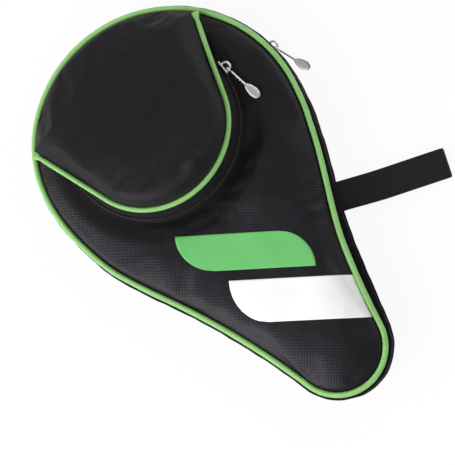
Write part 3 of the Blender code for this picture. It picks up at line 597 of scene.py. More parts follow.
def make_stitches(name, path, rises):
    """A row of stitches along a line, each one a short thread that dives into the cloth at both ends."""
    run = run_along(path)
    points = []
    faces = []
    for place in np.arange(0.5 * STITCH_STEP, run[-1] - 0.5 * STITCH_STEP, STITCH_STEP):
        centres = at_places(place + STITCH_LENGTH * np.array(STITCH_SHARES), run, path)
        rise = at_places(place, run, rises)
        side = np.cross(centres[-1] - centres[0], rise)
        side /= np.linalg.norm(side)
        first = len(points)
        for share, centre in zip(STITCH_SHARES, centres):
            width = STITCH_RADIUS * (1.0 - STITCH_TAPER * share ** 2)
            above = centre + rise * STITCH_RADIUS * (STITCH_PROUD - STITCH_DIVE * share ** 2)
            for angle in np.arange(STITCH_SIDES) * 2.0 * math.pi / STITCH_SIDES:
                points.append(above + width * (side * math.cos(angle) + rise * math.sin(angle)))
        faces += ring_faces(len(STITCH_SHARES), STITCH_SIDES, first)
        faces.append(range(first, first + STITCH_SIDES)[::-1])
        faces.append(range(len(points) - STITCH_SIDES, len(points)))
    return make_piece(name, points, faces)


def thread(name, colour):
    """Twisted polyester sewing thread, a little glossy and fuzzy."""
    material, tree, shader = new_finish(name)
    lint = patches(tree, LINT_SPOT, 5.0)
    set_inputs(tree, shader, {
        "Base Color": blend_colours(tree, lint, shade(colour, 0.7), shade(colour, 2.2)),
        "Roughness": maths(tree, "MULTIPLY_ADD", lint, 0.3, 0.30),
        "Sheen Weight": 0.1,
    })
    return material


def make_wall_stitches(name, sections):
    """Top stitching along a wall's folded edge."""
    path = outline_ring(ALL_ROUND, 0.0, 0.0)
    upward = np.array((0.0, 0.0, 1.0))
    out, _ = line_frames(path, upward, closed=True)
    edge = np.array([section[WALL_STITCH_POINT] for section in sections])
    line = path + out * edge[:, :1] + upward * edge[:, 1:]
    return make_stitches(name, np.vstack([line, line[:1]]), np.vstack([out, out[:1]]))


wall_cloth = woven("wall_cloth", BLACK, CLOTH_THREAD, BACK_RIPSTOP, specular=0.05)
black_thread = thread("black_thread", THREAD_BLACK)
for half, seam_edge, zip_edge in (("back", BACK_SEAM + SEAM_ROOM, PARTING - 0.5 * ZIP_GAP),
                                  ("front", FRONT_SEAM - SEAM_ROOM, PARTING + 0.5 * ZIP_GAP)):
    wall, wall_sections = make_wall(half + "_wall_cloth", seam_edge, zip_edge)
    finish_piece(wall, wall_cloth, half + "_half", "black_cloth", half + "_gusset")
    stitches = make_wall_stitches(half + "_wall_stitches", wall_sections)
    finish_piece(stitches, black_thread, half + "_half", "black_cloth")

# Corded seams
# A cord wrapped in a bias strip of satin cloth, caught in the seam between panel and side wall: black
# round the back, green round the front.
SEAM_GREEN = (0.250, 0.555, 0.150)
BIAS_TWILL = 0.0008
BIAS_PATCH = 0.014
BIAS_SPOT = 0.0016
CORD_UNEVEN = 0.03
CORD_GATHER = 1.7


def bias_cloth(name, colour, roughness):
    """Satin cloth cut on the bias and wrapped round a cord, creased and a little rubbed."""
    material, tree, shader = new_finish(name)
    slant = maths(tree, "ADD", *weave_places(tree))
    twill = maths(tree, "SINE", maths(tree, "MULTIPLY", slant, 2.0 * math.pi / BIAS_TWILL))
    uneven = patches(tree, BIAS_PATCH, 4.0)
    fine = patches(tree, BIAS_SPOT)
    dyed = blend_colours(tree, uneven, shade(colour, 0.84), shade(colour, 1.14))
    raised = maths(tree, "MULTIPLY_ADD", twill, 0.10, 0.10)
    threads = blend_colours(tree, raised, dyed, shade(colour, 1.6))
    soiled = maths(tree, "MULTIPLY", maths(tree, "GREATER_THAN", fine, 0.64), 0.18)
    height = maths(tree, "ADD", twill, maths(tree, "MULTIPLY", fine, 1.2))
    set_inputs(tree, shader, {
        "Base Color": blend_colours(tree, soiled, threads, shade(colour, 0.55)),
        "Roughness": maths(tree, "MULTIPLY_ADD", fine, 0.2, roughness - 0.1),
        "Normal": relief(tree, height, 0.6, 0.00010),
        "Sheen Weight": 0.12,
        "Specular IOR Level": 0.6,
    })
    return material


def make_seam_cord(name, height):
    """A corded seam round the case, a little uneven along its length."""
    path = outline_ring(ALL_ROUND, SEAM_INSET, height)
    sections = []
    for place in run_along(path):
        girth = 1.0 + CORD_UNEVEN * pucker(CORD_GATHER * place)
        sections.append(round_section(CORD_RADIUS * girth))
    return sweep(name, path, sections, closed=True)


black_bias = bias_cloth("black_bias", BLACK, roughness=0.5)
green_bias = bias_cloth("green_bias", SEAM_GREEN, roughness=0.34)
back_cord = make_seam_cord("back_seam_cord", BACK_SEAM)
finish_piece(back_cord, black_bias, "back_half", "black_cloth", "back_piping")
front_cord = make_seam_cord("front_seam_cord", FRONT_SEAM)
finish_piece(front_cord, green_bias, "front_half", "green_piping", "front_piping")

# Main zip tapes
# Woven polyester tape sewn behind each wall's folded edge. Its inner edge steps back behind the coil
# and ends in a thin lip that nearly meets the other one.
ZIP_START = head_station(math.radians(-6.0))
ZIP_END = 2.92
TAPE_INSET = 0.0034
TAPE_THICKNESS = 0.0006
TAPE_REACH = 0.5 * ZIP_GAP + 0.0022
COIL_RADIUS = 0.0010
COIL_GAP = 0.0006
COIL_OFFSET = COIL_RADIUS + COIL_GAP
TAPE_EDGE = COIL_OFFSET + COIL_RADIUS + 0.0003
STEP_BACK = 0.0011
STEP_RUN = 0.0006
STEP_TURN = 0.0004
LIP_BACK = STEP_BACK + 0.4 * TAPE_THICKNESS
LIP_GAP = 0.0002
# Painted shade: the tapes' black is darker than the binding tape's own black, so that the pocket's wall reads
# as lying in shadow.
SHADED_TAPE_BLACK = (0.0042, 0.0039, 0.0042)
TAPE_RIB = 0.0009
TAPE_OUTLINE = (
    (0.0, TAPE_REACH),
    (0.0, TAPE_EDGE),
    (-STEP_BACK, TAPE_EDGE - STEP_RUN),
    (-STEP_BACK, LIP_GAP),
    (-LIP_BACK, LIP_GAP),
    (-LIP_BACK, TAPE_EDGE - STEP_TURN),
    (-TAPE_THICKNESS, TAPE_EDGE + STEP_TURN),
    (-TAPE_THICKNESS, TAPE_REACH),
)
ZIP_HALVES = (("back", -1), ("front", 1))

zip_places = stations_between(ZIP_START, ZIP_END)
shaded_tape_cloth = ribbed("shaded_tape_cloth", SHADED_TAPE_BLACK, TAPE_RIB, bump=0.00012)
tape_path = outline_ring(zip_places, TAPE_INSET, PARTING)
for half, side in ZIP_HALVES:
    section = [(out, side * up) for out, up in TAPE_OUTLINE][::-side]
    tape = sweep("zip_tape_" + half + "_cloth", tape_path, section, closed=False)
    finish_piece(tape, shaded_tape_cloth, half + "_half", "black_webbing", "zip_tape_" + half)

# Main zip coils
# Nylon thread wound into a spring and sewn on the tape's edge. The two coils mesh where the zip is shut.
# They run from the right of the head round its top and the left flank to the tip.
COIL_INSET = TAPE_INSET + 0.5 * TAPE_THICKNESS
COIL_PITCH = 0.0014
COIL_THREAD = 0.00033
TURN_POINTS = 10
COIL_BLACK = (0.016, 0.0155, 0.016)
DUST_PATCH = 0.006


def nylon(name, colour):
    """Drawn nylon thread, a little glossy, with dusty patches."""
    material, tree, shader = new_finish(name)
    dust = patches(tree, DUST_PATCH, 5.0)
    set_inputs(tree, shader, {
        "Base Color": blend_colours(tree, dust, shade(colour, 0.7), shade(colour, 1.9)),
        "Roughness": maths(tree, "MULTIPLY_ADD", dust, 0.3, 0.22),
    })
    return material


def make_coil(name, path, radius, side):
    """A spring of nylon along a line, wound about it, as a curve with a round thread."""
    run = run_along(path)
    out, up = line_frames(path, np.array((0.0, 0.0, 1.0)), closed=False)
    turns = max(4, round(run[-1] / COIL_PITCH))
    places = np.linspace(0.0, run[-1], turns * TURN_POINTS + 1)
    angle = 2.0 * math.pi * np.arange(len(places)) / TURN_POINTS
    reach = radius - COIL_THREAD
    line = at_places(places, run, path)
    line += reach * np.cos(angle)[:, None] * at_places(places, run, out)
    line += side * reach * np.sin(angle)[:, None] * at_places(places, run, up)
    curve = bpy.data.curves.new(name, "CURVE")
    curve.dimensions = "3D"
    curve.bevel_depth = COIL_THREAD
    curve.bevel_resolution = 1
    curve.use_fill_caps = True
    spline = curve.splines.new("POLY")
    spline.points.add(len(line) - 1)
    spline.points.foreach_set("co", np.concatenate([line, np.ones((len(line), 1))], axis=1).ravel())
    item = bpy.data.objects.new(name, curve)
    scene.collection.objects.link(item)
    return item


coil_nylon = nylon("coil_nylon", COIL_BLACK)
for half, side in ZIP_HALVES:
    path = outline_ring(zip_places, COIL_INSET, PARTING + side * COIL_OFFSET)
    coil = make_coil("zip_coil_" + half + "_spring", path, COIL_RADIUS, side)
    finish_piece(coil, coil_nylon, half + "_half", "black_coil", "zip_coil_" + half)

# Cloth hinge
# A strip of the wall's cloth that joins both halves along the right flank, where the zip stops. It is
# sewn behind both folded edges.
HINGE_FIRST = ZIP_END + 0.020
HINGE_LAST = 4.0 + ZIP_START - 0.006
HINGE_THICKNESS = 0.0008
HINGE_SWELL = 0.0005
HINGE_CURVE = 1.5
HINGE_STEPS = 8

hinge_places = stations_between(HINGE_FIRST, HINGE_LAST)
hinge_section = []
for step in range(HINGE_STEPS + 1):
    across = 2.0 * step / HINGE_STEPS - 1.0
    hinge_section.append((HINGE_SWELL * (1.0 - abs(across) ** HINGE_CURVE), TAPE_REACH * across))
hinge_section += [(out - HINGE_THICKNESS, up) for out, up in reversed(hinge_section)]
hinge = sweep("hinge_cloth", outline_ring(hinge_places, TAPE_INSET, PARTING), hinge_section, closed=False)
hinge.data.materials.append(wall_cloth)
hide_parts("hinge_strip")
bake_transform(hinge)

# Front panel
# The padded front: ripstop polyester over foam, sewn into the green corded seam, so its edge swells up
# from a groove along the seam like a pillow. It creases at the tip and beside the hand strap.
FRONT_HEIGHT = 0.032
PILLOW_WIDTH = 0.016
FRONT_RIPSTOP = 0.0019
FRONT_GRAIN = math.radians(-40.0)
SWELL_WIDTH = 0.030
SWELL_RISE = 0.0030
FOLD_SIZE = 0.024
FOLD_STRETCH = 1.3
FOLD_HEIGHT = 0.0009
FOLD_START = 0.014
FOLD_LEVEL = 0.37
BROAD_FOLDS = 1.4
FINE_FOLDS = 0.4
FINE_SHARE = 2.7
LEFT_SLACK = 0.35
SLACK_FROM = -0.015
SLACK_RUN = 0.040
SEAM_GROOVE = 0.0013
PAD_GAP = 0.0002
POCKET_MIDDLE_Y = 0.0156
POCKET_TOP_Y = POCKET_MIDDLE_Y + 0.030
POCKET_REACH = 0.0625
POCKET_VALLEY = 0.012
CLOTH_STIFFNESS = 30.0
CLOTH_BENDING = 2.0
SETTLE_FRAMES = 20
SLACK = 0.006
PRESSURE = 2.0
MOST_SWELL = 0.0014
CREASE_WIDTH = 0.0032
CREASE_AT_SEAM = 0.3

# Broad swellings where the cloth lies slack over the foam: place, half width and height
SWELLS = (
    (0.061, -0.050, 0.017, 0.0030),
    (0.034, -0.066, 0.018, 0.0021),
    (0.047, -0.094, 0.013, 0.0015),
)

# Short creases that run into a seam and are deepest there: start, end and depth
CREASES = (
    ((0.040, -0.088), (0.060, -0.0965), 0.0010),
    ((0.043, -0.100), (0.0585, -0.1050), 0.0007),
    ((-0.006, -0.186), (0.0065, -0.1985), 0.0009),
    ((0.010, -0.183), (0.020, -0.1935), 0.0006),
)


def soft_folds(x, y, size, stretch):
    """Shallow folds of cloth, from -1 to 1, about so far apart, stretched out across the case."""
    heights = np.empty_like(x)
    for spot in np.ndindex(*x.shape):
        place = Vector((x[spot] / (size * stretch), y[spot] / size, FOLD_LEVEL))
        heights[spot] = BROAD_FOLDS * noise.noise(place) + FINE_FOLDS * noise.noise(FINE_SHARE * place)
    return heights


def swell_height(x, y):
    """Height of all the swellings together."""
    height = 0.0
    for at_x, at_y, wide, high in SWELLS:
        height += high * np.exp(-((x - at_x) ** 2 + (y - at_y) ** 2) / wide ** 2)
    return height


def crease_depth(x, y):
    """Depth of all the creases together."""
    depth = np.zeros_like(x)
    for start, end, most in CREASES:
        run_x, run_y = end[0] - start[0], end[1] - start[1]
        along = (x - start[0]) * run_x + (y - start[1]) * run_y
        share = np.clip(along / (run_x ** 2 + run_y ** 2), 0.0, 1.0)
        away = np.hypot(x - start[0] - share * run_x, y - start[1] - share * run_y)
        depth += most * share * np.exp(-(away / CREASE_WIDTH) ** 2)
    return depth


def settle(item, held, pressure, most):
    """Let a piece's cloth settle under the push of what is inside; held points stay, and none moves far."""
    group = item.vertex_groups.new(name="held")
    group.add([int(index) for index in np.flatnonzero(held)], 1.0, "REPLACE")
    cloth = item.modifiers.new("settle", "CLOTH")
    cloth.settings.vertex_group_mass = "held"
    cloth.settings.use_pressure = True
    cloth.settings.uniform_pressure_force = pressure
    cloth.settings.effector_weights.gravity = 0.0
    cloth.settings.shrink_min = -SLACK
    cloth.settings.tension_stiffness = CLOTH_STIFFNESS
    cloth.settings.compression_stiffness = CLOTH_STIFFNESS
    cloth.settings.bending_stiffness = CLOTH_BENDING
    cloth.collision_settings.use_collision = False
    count = len(item.data.vertices)
    before = np.empty(3 * count)
    item.data.vertices.foreach_get("co", before)
    for moment in range(1, SETTLE_FRAMES + 1):
        scene.frame_set(moment)
    settled = item.evaluated_get(bpy.context.evaluated_depsgraph_get()).data
    after = np.empty(3 * count)
    settled.vertices.foreach_get("co", after)
    move = (after - before).reshape(-1, 3)
    size = np.linalg.norm(move, axis=1, keepdims=True)
    move *= np.minimum(1.0, np.reshape(most, (-1, 1)) / np.maximum(size, 1e-9))
    item.modifiers.remove(cloth)
    scene.frame_set(1)
    item.data.vertices.foreach_set("co", before + move.ravel())
    item.data.update()


from_pocket = np.hypot(panel_x, panel_y - POCKET_MIDDLE_Y) - POCKET_REACH
under_pocket = (from_pocket < 0.0) | (panel_y > POCKET_TOP_Y)
beside_pocket = np.clip(from_pocket / POCKET_VALLEY, 0.0, 1.0)
beside_pocket *= np.clip((POCKET_TOP_Y - panel_y) / POCKET_VALLEY, 0.0, 1.0)
free_share = np.clip((panel_inset - PANEL_INSET) / FOLD_START, 0.0, 1.0)
right_share = LEFT_SLACK + (1.0 - LEFT_SLACK) * np.clip((panel_x - SLACK_FROM) / SLACK_RUN, 0.0, 1.0)
folds = FOLD_HEIGHT * soft_folds(panel_x, panel_y, FOLD_SIZE, FOLD_STRETCH) * right_share
folds += swell_height(panel_x, panel_y)
front_face = pillow(panel_inset, FRONT_SEAM, FRONT_HEIGHT - FRONT_SEAM, PILLOW_WIDTH)
swollen = pillow(panel_inset, FRONT_SEAM, FRONT_HEIGHT + SWELL_RISE - FRONT_SEAM, SWELL_WIDTH)
upper_face = front_face + (swollen - front_face + folds * free_share) * beside_pocket
upper_face -= crease_depth(panel_x, panel_y) * (CREASE_AT_SEAM + (1.0 - CREASE_AT_SEAM) * free_share)
lower_face = front_face - pad_depth(panel_inset, PILLOW_WIDTH) - PAD_GAP
sewn_down = np.zeros(panel_x.shape, bool)
sewn_down.ravel()[grid_edge(*panel_x.shape)] = True
upper_face[sewn_down] -= SEAM_GROOVE
lower_face[sewn_down] -= SEAM_GROOVE
front_panel = make_pad("front_panel_cloth", panel_x, panel_y, upper_face, lower_face, FRONT_GRAIN)
settle(front_panel, np.concatenate([(sewn_down | under_pocket).ravel(), np.ones(panel_x.size, bool)]),
       PRESSURE, MOST_SWELL * np.tile(right_share.ravel(), 2))
front_cloth = woven("front_cloth", BLACK, CLOTH_THREAD, FRONT_RIPSTOP, bump=0.00005)
finish_piece(front_panel, front_cloth, "front_half", "black_cloth", "front_panel", "front_foam")

# Front lining and binding
# The same lining and binding as in the back half. The lining is drawn up into the pillow of the front
# and held by the binding round its edge.
front_lining = make_lining("front_lining_cloth", FRONT_SEAM, FRONT_HEIGHT - FRONT_SEAM, PILLOW_WIDTH)
finish_piece(front_lining, lining_cloth, "front_half", "black_lining", "front_lining")
front_binding = make_binding("front_binding_tape", FRONT_SEAM, FRONT_HEIGHT - FRONT_SEAM, PILLOW_WIDTH)
finish_piece(front_binding, binding_tape, "front_half", "black_webbing", "front_binding")

# Pocket cloth
# One piece of smooth cloth shaped into a dome over the balls: sewn down round the top of the head, free
# along a corded edge from corner to corner.
POCKET_CORNER = math.radians(38.2)
POCKET_INSET = 0.0049
POCKET_FLARE = 0.0133
POCKET_ARC_DEPTH = 0.0401
RIM_DRAW = 0.0041
RIM_ANGLE = math.radians(13.0)
RIM_BASE = 0.0030
CROWN_RISE = 0.0115
CROWN_SEAM = 0.0040
CROWN_ROLL = 0.0034
CROWN_FLATNESS = 6.0
ROLL_FROM = 0.86
ROLL_EASE = 0.2
BALL_RISE = 0.0140
BALL_TOP = 0.60
RIM_SHARPNESS = 24.0
BALL_SPOT = (0.0103, -0.0232)
BALL_BUMP = 0.0036
BALL_SPREAD = 0.0072
POCKET_FOLD = 0.0005
POCKET_FOLD_SIZE = 0.014
POCKET_FOLD_STRETCH = 3.0
POCKET_TAUT = 0.2
POCKET_PRESSURE = 1.0
MOST_BILLOW = 0.0012
POCKET_CORD = 0.0017
POCKET_TUCK = 0.8 * POCKET_CORD
COVER_THICKNESS = 0.0012
POCKET_CENTRE = (0.0, 0.022)
POCKET_CELL = 0.0019
POCKET_THREAD = 0.0004
SHARE_GAP = 0.004
ARM_POINTS = 24
BOW_POINTS = 96
CROWN_POINTS = 90
HINGE_Z = FRONT_HEIGHT + 0.0003
HINGE_Y = (HEAD_RADIUS - POCKET_INSET) * math.sin(POCKET_CORNER)
HALF_WIDTH = (HEAD_RADIUS - POCKET_INSET) * math.cos(POCKET_CORNER)
POCKET_ARC = HALF_WIDTH - POCKET_FLARE
POCKET_DEPTH = POCKET_ARC_DEPTH + POCKET_ARC
FLARE_RADIUS = (POCKET_FLARE ** 2 + POCKET_ARC_DEPTH ** 2) / (2.0 * POCKET_FLARE)
RIM_RADIUS = POCKET_ARC - RIM_DRAW
RIM_DEPTH = POCKET_ARC_DEPTH + RIM_DRAW
ARM_ANGLE = math.acos(RIM_RADIUS / math.hypot(HALF_WIDTH, RIM_DEPTH)) - math.atan2(RIM_DEPTH, HALF_WIDTH)


def pocket_outline(share, outset=0.0):
    """Half width and distance from the hinge line of the zip's wall, from right (0) to left (3)."""
    if share > 2.0:
        across, depth = pocket_outline(3.0 - share, outset)
        return -across, depth
    if share > 1.0:
        angle = math.pi * (share - 1.0)
        reach = POCKET_ARC + outset
        return reach * math.cos(angle), POCKET_ARC_DEPTH + reach * math.sin(angle)
    centre = POCKET_ARC + FLARE_RADIUS
    first = math.pi + math.atan2(POCKET_ARC_DEPTH, centre - HALF_WIDTH)
    angle = first + (math.pi - first) * share
    reach = FLARE_RADIUS - outset
    return centre + reach * math.cos(angle), POCKET_ARC_DEPTH + reach * math.sin(angle)


def rim_outline(share, outset=0.0):
    """The same for the cover's corded edge: straight arms from the corners that run on into an arc."""
    across, depth = pocket_outline(share)
    angle = math.atan2(depth - RIM_DEPTH, across)
    beside = math.atan2(depth - RIM_DEPTH, abs(across))
    reach = (RIM_RADIUS + outset) / math.cos(max(0.0, ARM_ANGLE - beside))
    return reach * math.cos(angle), RIM_DEPTH + reach * math.sin(angle)


def pocket_point(across, depth, lift):
    """A point of the pocket, raised by turning about the hinge line."""
    level = math.sqrt(max(depth ** 2 - lift ** 2, 0.0))
    return across, HINGE_Y - math.copysign(level, depth), HINGE_Z + lift


def rim_lift(depth):
    """Height of the cover's edge above the front: steep beside the corners, then a steady slope."""
    steep = np.sin(0.5 * math.pi * np.clip(depth / POCKET_ARC_DEPTH, 0.0, 1.0))
    return depth * math.sin(RIM_ANGLE) + RIM_BASE * steep


def pocket_shares(first, last):
    """Places along the cover's edge, about evenly spaced."""
    arm = np.linspace(0.0, 1.0, ARM_POINTS)
    bow = np.linspace(1.0, 2.0, BOW_POINTS)
    every = np.concatenate([arm, bow[1:], 2.0 + arm[1:]])
    inside = every[(every > first + SHARE_GAP) & (every < last - SHARE_GAP)]
    return np.concatenate([[first], inside, [last]])


def pocket_line(first, last, outline, outset, lift_of, raised=0.0, proud=0.0):
    """A line along the pocket's wall from left to right, leaning out less towards the corners."""
    points = []
    for share in pocket_shares(first, last)[::-1]:
        lean = outset * min(1.0, pocket_outline(share)[1] / POCKET_ARC_DEPTH)
        across, depth = outline(share, lean + proud)
        points.append(pocket_point(across, depth, max(lift_of(depth) + raised, 0.0)))
    return np.array(points)


def dome_height(x, y, edge):
    """Height of the pocket's cloth: a crown beyond the hinge line, a dome over the balls before it."""
    angle = np.arctan2(y - HINGE_Y, x)
    reach = edge_reach(edge, (0.0, HINGE_Y), angle)
    share = np.clip(np.hypot(x, y - HINGE_Y) / reach, 0.0, 1.0)
    along_hinge = CROWN_RISE * (1.0 - share ** CROWN_FLATNESS)
    depth = np.maximum(0.0, HINGE_Y - y) / math.cos(RIM_ANGLE)
    pull = np.clip(-reach * np.sin(angle) / (POCKET_DEPTH * math.cos(RIM_ANGLE)), 0.0, 1.0)
    climb = CROWN_RISE + (BALL_RISE - CROWN_RISE) * np.clip(share / BALL_TOP, 0.0, 1.0)
    over_balls = climb * (1.0 - share ** RIM_SHARPNESS)
    before = rim_lift(depth) + over_balls * pull + along_hinge * (1.0 - pull)
    beyond_pull = np.clip(reach * np.sin(angle) / (HEAD_RADIUS - PANEL_INSET - HINGE_Y), 0.0, 1.0)
    taut = CROWN_RISE + (FRONT_SEAM + CROWN_SEAM - HINGE_Z - CROWN_RISE) * share
    roll = 1.0 - np.sqrt(1.0 - np.clip((share - ROLL_FROM) / (1.0 - ROLL_FROM), 0.0, 1.0) ** 2)
    roll *= CROWN_ROLL * np.clip(beyond_pull / ROLL_EASE, 0.0, 1.0)
    beyond = taut * beyond_pull + along_hinge * (1.0 - beyond_pull) - roll
    return HINGE_Z + np.where(y < HINGE_Y, before, beyond)


def settled_copy(item):
    """Bake a piece's modifiers into its mesh."""
    bpy.context.view_layer.update()
    graph = bpy.context.evaluated_depsgraph_get()
    old = item.data
    item.data = bpy.data.meshes.new_from_object(item.evaluated_get(graph), depsgraph=graph)
    item.modifiers.clear()
    bpy.data.meshes.remove(old)


def thicken(item, thickness, offset):
    """Give a sheet its thickness."""
    solid = item.modifiers.new("thickness", "SOLIDIFY")
    solid.thickness = thickness
    solid.offset = offset
    settled_copy(item)


rim = pocket_line(0.0, 3.0, rim_outline, 0.0, rim_lift, proud=-POCKET_TUCK)
head_angles = np.linspace(POCKET_CORNER, math.pi - POCKET_CORNER, CROWN_POINTS)[1:-1]
head_reach = HEAD_RADIUS - PANEL_INSET
head_edge = np.stack([head_reach * np.cos(head_angles), head_reach * np.sin(head_angles),
                      np.full_like(head_angles, FRONT_SEAM)], axis=1)
pocket_edge = np.concatenate([rim, head_edge])
pocket_side = round(2.0 * HALF_WIDTH / POCKET_CELL)
pocket_x, pocket_y, pocket_share = spread_cloth(pocket_edge, POCKET_CENTRE, pocket_side, pocket_side)
pocket_z = dome_height(pocket_x, pocket_y, pocket_edge)
from_ball = np.hypot(pocket_x - BALL_SPOT[0], pocket_y - BALL_SPOT[1])
pocket_z += BALL_BUMP * np.exp(-(from_ball / BALL_SPREAD) ** 2)
slack_share = np.clip((1.0 - pocket_share) / POCKET_TAUT, 0.0, 1.0)
pocket_z += POCKET_FOLD * soft_folds(pocket_x, pocket_y, POCKET_FOLD_SIZE, POCKET_FOLD_STRETCH) * slack_share
pocket_points = np.stack([pocket_x, pocket_y, pocket_z], axis=-1).reshape(-1, 3)
pocket = make_piece("pocket_cloth", pocket_points, grid_faces(*pocket_x.shape))
hemmed = np.zeros(pocket_x.size, bool)
hemmed[grid_edge(*pocket_x.shape)] = True
settle(pocket, hemmed, POCKET_PRESSURE, MOST_BILLOW)
thicken(pocket, COVER_THICKNESS, -1.0)
pocket_weave = woven("pocket_weave", BLACK, POCKET_THREAD, roughness=0.36, specular=0.22)
pocket.data.materials.append(pocket_weave)
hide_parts("pocket_cover", "pocket_crown")
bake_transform(pocket)

# Pocket cord
# The green cord along the pocket's free edge, wrapped in the same satin as the seam. Its ends flatten
# into tabs that are caught in the main seam.
TAB_LENGTH = 0.010
TAB_WIDTH = 1.75
TAB_NECK = 0.78
TAB_NECK_PLACE = 0.6
TAB_THINNESS = 0.6


def tab_widths(run):
    """How wide and how thick the cord is along its length, next to its usual size."""
    from_end = np.minimum(run, run[-1] - run)
    share = np.clip(from_end / TAB_LENGTH, 0.0, 1.0)
    wide = np.interp(share, (0.0, TAB_NECK_PLACE, 1.0), (TAB_WIDTH, TAB_NECK, 1.0))
    return wide, TAB_THINNESS + (1.0 - TAB_THINNESS) * share


cord_path = pocket_line(0.0, 3.0, rim_outline, 0.0, rim_lift)
cord_sections = []
for wide, thick in zip(*tab_widths(run_along(cord_path))):
    cord_sections.append(round_section(POCKET_CORD * wide, squash=thick / wide))
pocket_cord = sweep("pocket_edge_cord", cord_path, cord_sections, closed=False)
finish_piece(pocket_cord, green_bias, "pocket_flap", "green_piping", "pocket_piping")

# Pocket wall
# The pocket's zip tapes stand between the front panel and the corded edge. Beside the ends of the zip
# a cloth gore on each side closes the wall.
COIL_BASE = 0.0018
COIL_ANGLE = math.radians(4.0)
COIL_OUTSET = 0.0018
COIL_SLOT = 0.0004
FOOT_OUTSET = 0.0034
FOOT_LIFT = 0.0002
RIM_LAP = 0.6 * POCKET_CORD
ZIP_FIRST = 0.88
ZIP_LAST = 3.0 - ZIP_FIRST
GORE_FIRST = 0.10
GORE_GAP = 0.004


def foot_lift(depth):
    """Height of the wall's foot above the front, the same all along."""
    return FOOT_LIFT


def coil_lift(depth):
    """Height of the pocket zip's meeting line above the front."""
    return COIL_BASE + depth * math.sin(COIL_ANGLE)


def make_wall_strip(name, first, last, low, high, steps):
    """A strip of cloth up a stretch of the wall, between two edges that pocket_line draws."""
    foot = pocket_line(first, last, *low)
    head = pocket_line(first, last, *high)
    lines = np.asarray([foot + (head - foot) * step / steps for step in range(steps + 1)])
    rows, columns = lines.shape[:2]
    along = run_along(lines[0])
    across = run_along(lines[:, columns // 2])
    faces = grid_faces(rows, columns)
    flat = [(along[corner % columns], across[corner // columns]) for face in faces for corner in face]
    strip = make_piece(name, lines.reshape(-1, 3), faces, flat)
    thicken(strip, TAPE_THICKNESS, 0.0)
    return strip


AT_FOOT = (pocket_outline, FOOT_OUTSET, foot_lift)
BELOW_COIL = (pocket_outline, COIL_OUTSET, coil_lift, -COIL_SLOT)
ABOVE_COIL = (pocket_outline, COIL_OUTSET, coil_lift, COIL_SLOT)
AT_RIM = (rim_outline, 0.0, rim_lift, -RIM_LAP)
lower_tape = make_wall_strip("pocket_tape_lower_cloth", ZIP_FIRST, ZIP_LAST, AT_FOOT, BELOW_COIL, steps=4)
finish_piece(lower_tape, shaded_tape_cloth, "front_half", "black_webbing", "pocket_tape_lower")
upper_tape = make_wall_strip("pocket_tape_upper_cloth", ZIP_FIRST, ZIP_LAST, ABOVE_COIL, AT_RIM, steps=5)
finish_piece(upper_tape, shaded_tape_cloth, "pocket_flap", "black_webbing", "pocket_tape_upper")
for hand, first, last in (("right", GORE_FIRST, ZIP_FIRST - GORE_GAP),
                          ("left", ZIP_LAST + GORE_GAP, 3.0 - GORE_FIRST)):
    gore = make_wall_strip("pocket_gore_" + hand + "_cloth", first, last, AT_FOOT, AT_RIM, steps=6)
    gore.data.materials.append(pocket_weave)
    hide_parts("pocket_gore_" + hand)
    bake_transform(gore)

# Pocket zip coils
# The same wound nylon as the main zip, in a smaller size and a dark brown, sewn along the edges of the
# pocket's tapes.
POCKET_COIL_RADIUS = 0.0008
POCKET_COIL_OFFSET = POCKET_COIL_RADIUS + COIL_GAP
POCKET_COIL_BROWN = (0.016, 0.011, 0.010)
POCKET_COIL_PROUD = 0.0006

pocket_nylon = nylon("pocket_nylon", POCKET_COIL_BROWN)
for level, body, side in (("lower", "front_half", -1), ("upper", "pocket_flap", 1)):
    path = pocket_line(ZIP_FIRST, ZIP_LAST, pocket_outline, COIL_OUTSET, coil_lift,
                       raised=side * POCKET_COIL_OFFSET, proud=POCKET_COIL_PROUD)
    coil = make_coil("pocket_coil_" + level + "_spring", path, POCKET_COIL_RADIUS, side)
    finish_piece(coil, pocket_nylon, body, "black_coil", "pocket_coil_" + level)

# Colour films
# Two slanted colour films, green and white, pressed on to the front with heat, so that the cloth's grid
# shows through them. Each one has a sharp upper left corner and a rounded lower left end.
FILM_ANGLE = math.radians(-37.7)
FILM_PROUD = 0.00018
FILM_THICKNESS = 0.00022
FILM_ROWS = 28
FILM_COLUMNS = 60
FILM_MARGIN = 0.0004
FILM_TRIM = 0.0002
GRID_SHARPNESS = 14.0
OVER_CASE = 0.1
FILM_PATCH = 0.022
SCUFF_SIZE = 0.0018
FILM_GREEN = (0.135, 0.505, 0.140)
FILM_WHITE = (0.89, 0.89, 0.89)

# Node, upper left corner, length and height, how far the left and right ends are rounded, colour, slot
FILMS = (
    ("green_stripe", (-0.0337, -0.0483), (0.0911, 0.0237), (0.0260, 0.0240), FILM_GREEN, "green_film"),
    ("white_stripe", (-0.0252, -0.0933), (0.1000, 0.0277), (0.0248, 0.0), FILM_WHITE, "white_film"),
)


